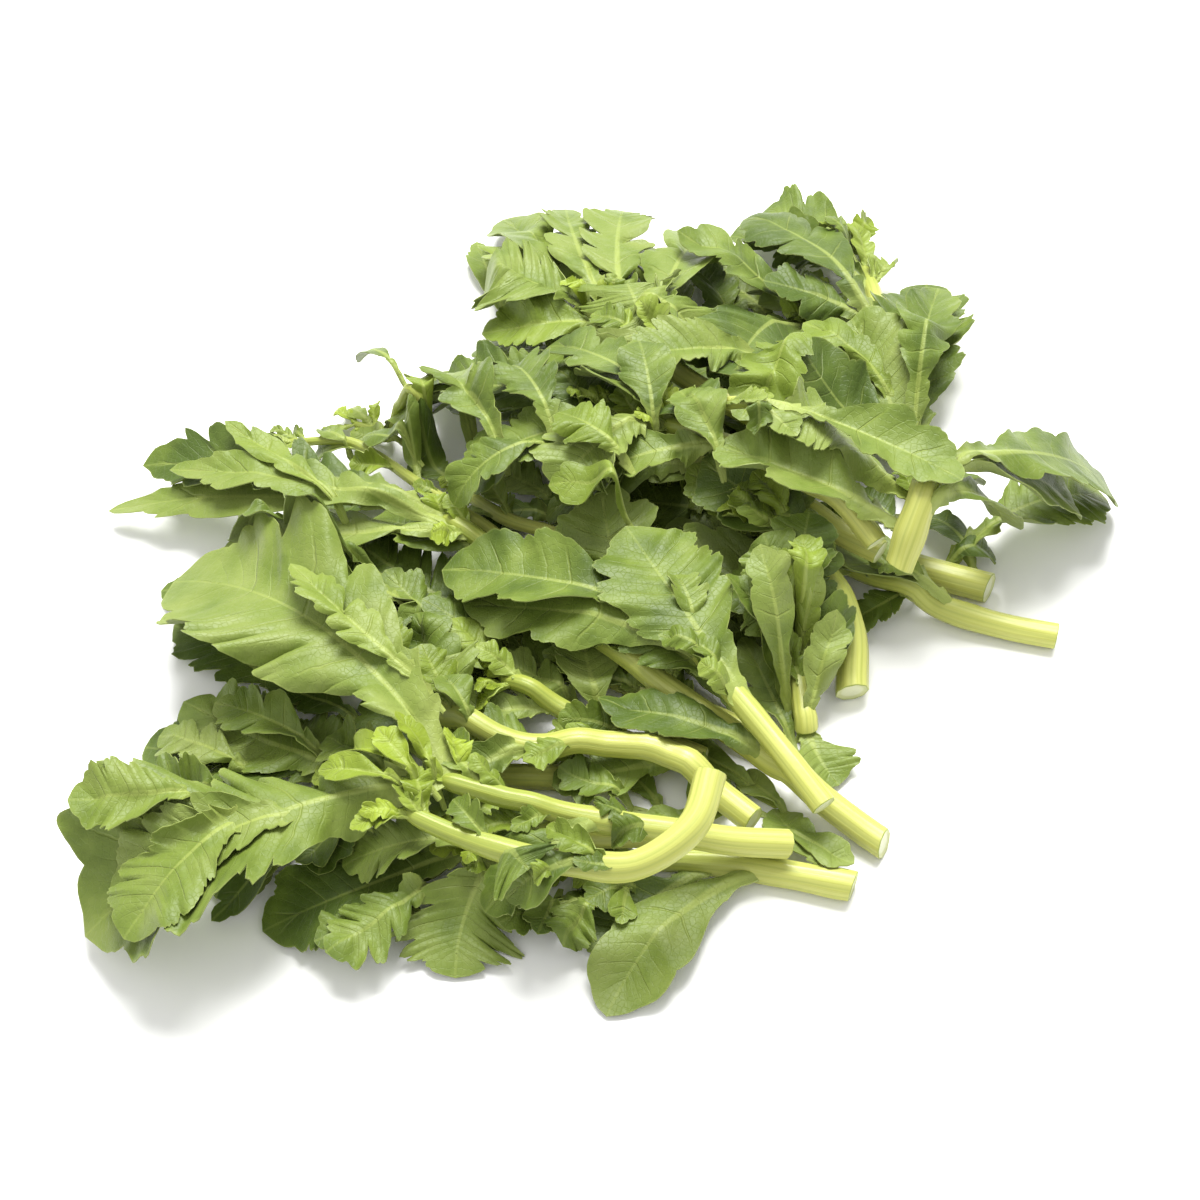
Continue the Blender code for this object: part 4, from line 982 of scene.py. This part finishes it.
def linear(hexColour):
    # an sRGB hex value as linear red, green, blue and full alpha
    value = np.array([int(hexColour[k:k + 2], 16) for k in (1, 3, 5)]) / 255
    return (*np.where(value <= 0.04045, value / 12.92, ((value + 0.055) / 1.055) ** 2.4), 1.0)


nodeKinds = {  # Blender's node, its settings, the inputs that a step fills in order, its output
    **{key: ("Math", {"operation": word}, (0, 1), 0) for key, word in (
        ("times", "MULTIPLY"), ("plus", "ADD"), ("minus", "SUBTRACT"), ("larger", "MAXIMUM"),
        ("size", "ABSOLUTE"), ("fraction", "FRACT"))},
    "ramp": ("MapRange", {"interpolation_type": "SMOOTHSTEP"}, (0, 1, 2), 0),  # 0 to 1 between two values
    "between": ("MapRange", {}, (0, 3, 4), 0),
    "blend": ("Mix", {"data_type": "RGBA"}, (0, 6, 7), 2),
    "noise": ("TexNoise", {}, ("Vector", "Scale", "Detail"), 0),
    "net": ("TexVoronoi", {"voronoi_dimensions": "2D", "feature": "DISTANCE_TO_EDGE"}, ("Vector", "Scale"),
            "Distance"),
    "scaled": ("Mapping", {}, ("Vector", "Scale"), 0),
    "bump": ("Bump", {}, ("Height", "Strength", "Distance"), 0),
    "place": ("TexCoord", {}, (), "Object"),
    "flat": ("UVMap", {"uv_map": "flat"}, (), 0),
    "mark": ("Attribute", {}, (), "Fac"),
    "skin": ("BsdfPrincipled", {}, ("Base Color", "Roughness", "Normal", "IOR", "Sheen Weight"), 0),
    "output": ("OutputMaterial", {}, ("Surface",), None),
}


def addNode(tree, made, kind, *inputs):
    # one node with its settings and links; an input is a number, a hex colour, the name of an earlier
    # step or of a mark on the mesh, or a step of its own
    blenderNode, settings, sockets, output = nodeKinds.get(kind, nodeKinds["mark"])
    node = tree.nodes.new("ShaderNode" + blenderNode)
    for key, value in settings.items():
        setattr(node, key, value)
    if blenderNode == "Attribute":
        node.attribute_name = kind
    for socket, value in zip(sockets, inputs):
        step = value if isinstance(value, tuple) and isinstance(value[0], str) else (value,)
        if isinstance(value, str) and value.startswith("#"):
            node.inputs[socket].default_value = linear(value)
        elif isinstance(step[0], str):
            if step not in made:
                made[step] = addNode(tree, made, *step)
            tree.links.new(made[step], node.inputs[socket])
        else:
            node.inputs[socket].default_value = value
    return node.outputs[output] if node.outputs else None


def makeFinish(name, steps):
    # a material from named steps, the last of which is its skin
    finish = bpy.data.materials.new(name)
    finish.use_nodes = True
    tree = finish.node_tree
    tree.nodes.clear()
    made = {}
    for key, step in steps.items():
        made[(key,)] = addNode(tree, made, *step)
    addNode(tree, made, "output", key)
    return finish


leafLook = {
    "green": "#657728",        # the upper face
    "deep": "#415413",
    "light": "#7b8842",
    "under": "#879356",        # the lower face is paler and greyer
    "young": "#a0b32a",        # leaves at the tips
    "rib": "#9ba756",
    "vein": "#849042",
    "edge": "#8b964c",
    "netMm": 2.0,              # spacing of the finest veins
    "mottleMm": 16.0,
    "grainMm": 2.5,
}


def leafFinish(look):
    # fresh leaf: a soft waxy skin over a net of veins, matt, with a faint sheen at grazing angles;
    # phase counts lobes along the blade, edge runs from the midrib outwards
    net = ("net", ("scaled", "flat", (100 / look["netMm"], 200 / look["netMm"], 1.0)), 1.0)
    return makeFinish("freshLeaf", {
        "mottle": ("noise", "place", 1000 / look["mottleMm"], 3.0),
        "grain": ("noise", "place", 1000 / look["grainMm"], 2.0),
        "netLine": ("ramp", net, 0.09, 0.0),
        "swayed": ("plus", "phase", ("times", ("minus", "mottle", 0.5), 0.25)),
        "offVein": ("size", ("minus", ("fraction", "swayed"), 0.5)),  # 0 on the side vein, 0.5 in the bay
        "offFine": ("size", ("minus", ("fraction", ("times", "swayed", 3.0)), 0.5)),
        "inner": ("ramp", "edge", 0.92, 0.45),
        "sideVein": ("times", ("ramp", "offVein", 0.030, 0.006), "inner"),
        "fineVein": ("times", ("times", ("ramp", "offFine", 0.06, 0.01), "inner"), 0.35),
        "veins": ("times", ("larger", "sideVein", "fineVein"), ("ramp", "share", 0.16, 0.30)),
        "midrib": ("times", ("ramp", "rib", 1.20, 0.45), ("minus", 1.0, ("times", "share", 0.75))),
        "toned": ("plus", "mottle", ("times", "tone", 0.26)),
        "dark": ("blend", ("ramp", "toned", 0.15, 0.65), look["deep"], look["green"]),
        "lit": ("blend", ("ramp", "toned", 0.45, 1.00), "dark", look["light"]),
        "netted": ("blend", ("times", "netLine", 0.05), "lit", look["vein"]),
        "backed": ("blend", ("times", "under", 0.70), "netted", look["under"]),
        "fresh": ("blend", ("times", "youth", 0.85), "backed", look["young"]),
        "veined": ("blend", ("times", "veins", 0.32), "fresh", look["vein"]),
        "edged": ("blend", ("times", ("ramp", "edge", 0.96, 1.0), 0.35), "veined", look["edge"]),
        "ribbed": ("times", ("larger", "midrib", ("ramp", "share", 0.30, 0.02)), 0.75),
        "colour": ("blend", "ribbed", "edged", look["rib"]),
        "hollow": ("minus", ("times", ("minus", 1.0, "veins"), 0.7), ("times", "netLine", 0.12)),
        "quilted": ("plus", "hollow", ("times", ("times", "offFine", "inner"), 0.4)),
        "relief": ("plus", "quilted", ("times", "grain", 0.5)),
        "leafSkin": ("skin", "colour", ("between", "grain", 0.40, 0.56), ("bump", "relief", 0.6, 0.0008),
                     1.38, 0.04),
    })


stemLook = {
    "stem": "#a6a947",
    "pale": "#babd66",
    "green": "#88963d",
    "groove": "#778734",
    "cut": "#c4c892",
    "cutRim": "#939f49",
    "pith": "#d4d7b5",
    "streakMm": 1.6,
}


def stemFinish(look):
    # fresh stem: a smooth waxy skin with fine ridges lengthwise, juicy and pale where it is cut;
    # cap is 1 on the cut end, capShare runs from its middle outwards
    return makeFinish("freshStem", {
        "streak": ("noise", ("scaled", "flat", (60.0, 6.0, 1.0)), 1.0, 3.0),
        "grain": ("noise", "place", 1000 / look["streakMm"], 3.0),
        "faded": ("blend", ("ramp", "share", 0.05, 0.95), look["pale"], look["green"]),
        "streaked": ("blend", ("times", ("ramp", "streak", 0.35, 0.75), 0.6), "faded", look["stem"]),
        "dark": ("times", ("ramp", ("times", "groove", -1.0), 0.2, 1.0), 0.32),
        "grooved": ("blend", "dark", "streaked", look["groove"]),
        "cutFace": ("blend", ("ramp", "capShare", 0.55, 0.80), look["pith"], look["cut"]),
        "rimmed": ("blend", ("ramp", "capShare", 0.88, 0.97), "cutFace", look["cutRim"]),
        "colour": ("blend", ("ramp", "cap", 0.4, 0.6), "grooved", "rimmed"),
        "relief": ("plus", "streak", ("times", "grain", 0.4)),
        "stemSkin": ("skin", "colour", ("between", "streak", 0.26, 0.44),
                     ("bump", "relief", 0.35, 0.0004), 1.42),
    })


studio = {
    "elevation": 50.0,           # degrees above the table
    "distance": 0.82,            # metres from the spot looked at
    "lens": 70.0,
    "sensor": 36.0,
    "target": (-0.0046, -0.0225, 0.0),
    "floorHalf": 3.0,
    "floorDrop": 0.0002,
    "paper": "#f4f4f2",          # plain matt paper, near white, without a pattern to draw the eye
    "sky": 0.78,
    "lights": (                  # name, place, size, watts
        ("keyLight", (0.05, 0.75, 1.5), 0.9, 60.0),
        ("fillLight", (-0.9, -0.7, 1.2), 1.6, 5.0),
    ),
}


def buildStudio():
    # a pale table, an even sky, one soft light from the back and a weak one from the front left
    half, low = studio["floorHalf"], -studio["floorDrop"]
    mesh = bpy.data.meshes.new("table")
    corners = [(-half, -half, low), (half, -half, low), (half, half, low), (-half, half, low)]
    mesh.from_pydata(corners, [], [(0, 1, 2, 3)])
    mesh.materials.append(makeFinish("paperTable", {"paper": ("skin", studio["paper"], 0.85)}))
    linked("table", mesh)
    world = bpy.data.worlds.new("softRoom")
    world.use_nodes = True
    sky = world.node_tree.nodes["Background"]
    sky.inputs["Color"].default_value = (1.0, 1.0, 1.0, 1.0)
    sky.inputs["Strength"].default_value = studio["sky"]
    bpy.context.scene.world = world
    target = Vector(studio["target"])
    for name, place, size, watts in studio["lights"]:
        light = bpy.data.lights.new(name, "AREA")
        light.size = size
        light.energy = watts
        aim(linked(name, light), Vector(place), target)
    camera = bpy.data.cameras.new("photoView")
    camera.lens = studio["lens"]
    camera.sensor_width = studio["sensor"]
    eye = linked("photoView", camera)
    up = math.radians(studio["elevation"])
    aim(eye, target + Vector((0.0, -math.cos(up), math.sin(up))) * studio["distance"], target)
    bpy.context.scene.camera = eye
    bpy.context.scene.view_settings.view_transform = "Standard"


def aim(thing, place, target):
    # at its place, with its -Z axis towards the target
    thing.location = place
    thing.rotation_euler = (target - place).to_track_quat("-Z", "Y").to_euler()


buildStudio()
print("studio ready")
coarseHeap = reliefMap(layout["coarseCell"])
coarseShoots = [layShoot(number, one, coarseHeap) for number, one in enumerate(shootList)]
print("shoots laid, heap", round(float(coarseHeap.top.max()), 1), "mm high")
finishes = {"leaf": leafFinish(leafLook), "stem": stemFinish(stemLook)}
fineHeap = reliefMap(layout["fineCell"])
dressed = [dressShoot(number, one, coarse, fineHeap)
           for number, (one, coarse) in enumerate(zip(shootList, coarseShoots))]
for k, (number, *row) in enumerate(lastLeaves):
    layExtra(row, firstSeed["last"] + k, fineHeap, dressed[number][0])
print("shoots dressed:", 2 * sum(len(part["faces"]) for leaves, stem in dressed for part in [*leaves, stem]),
      "triangles, heap", round(float(fineHeap.top.max()), 1), "mm high")
for one, (leaves, stem) in zip(shootList, dressed):
    makeShoot(one, leaves, stem, finishes)
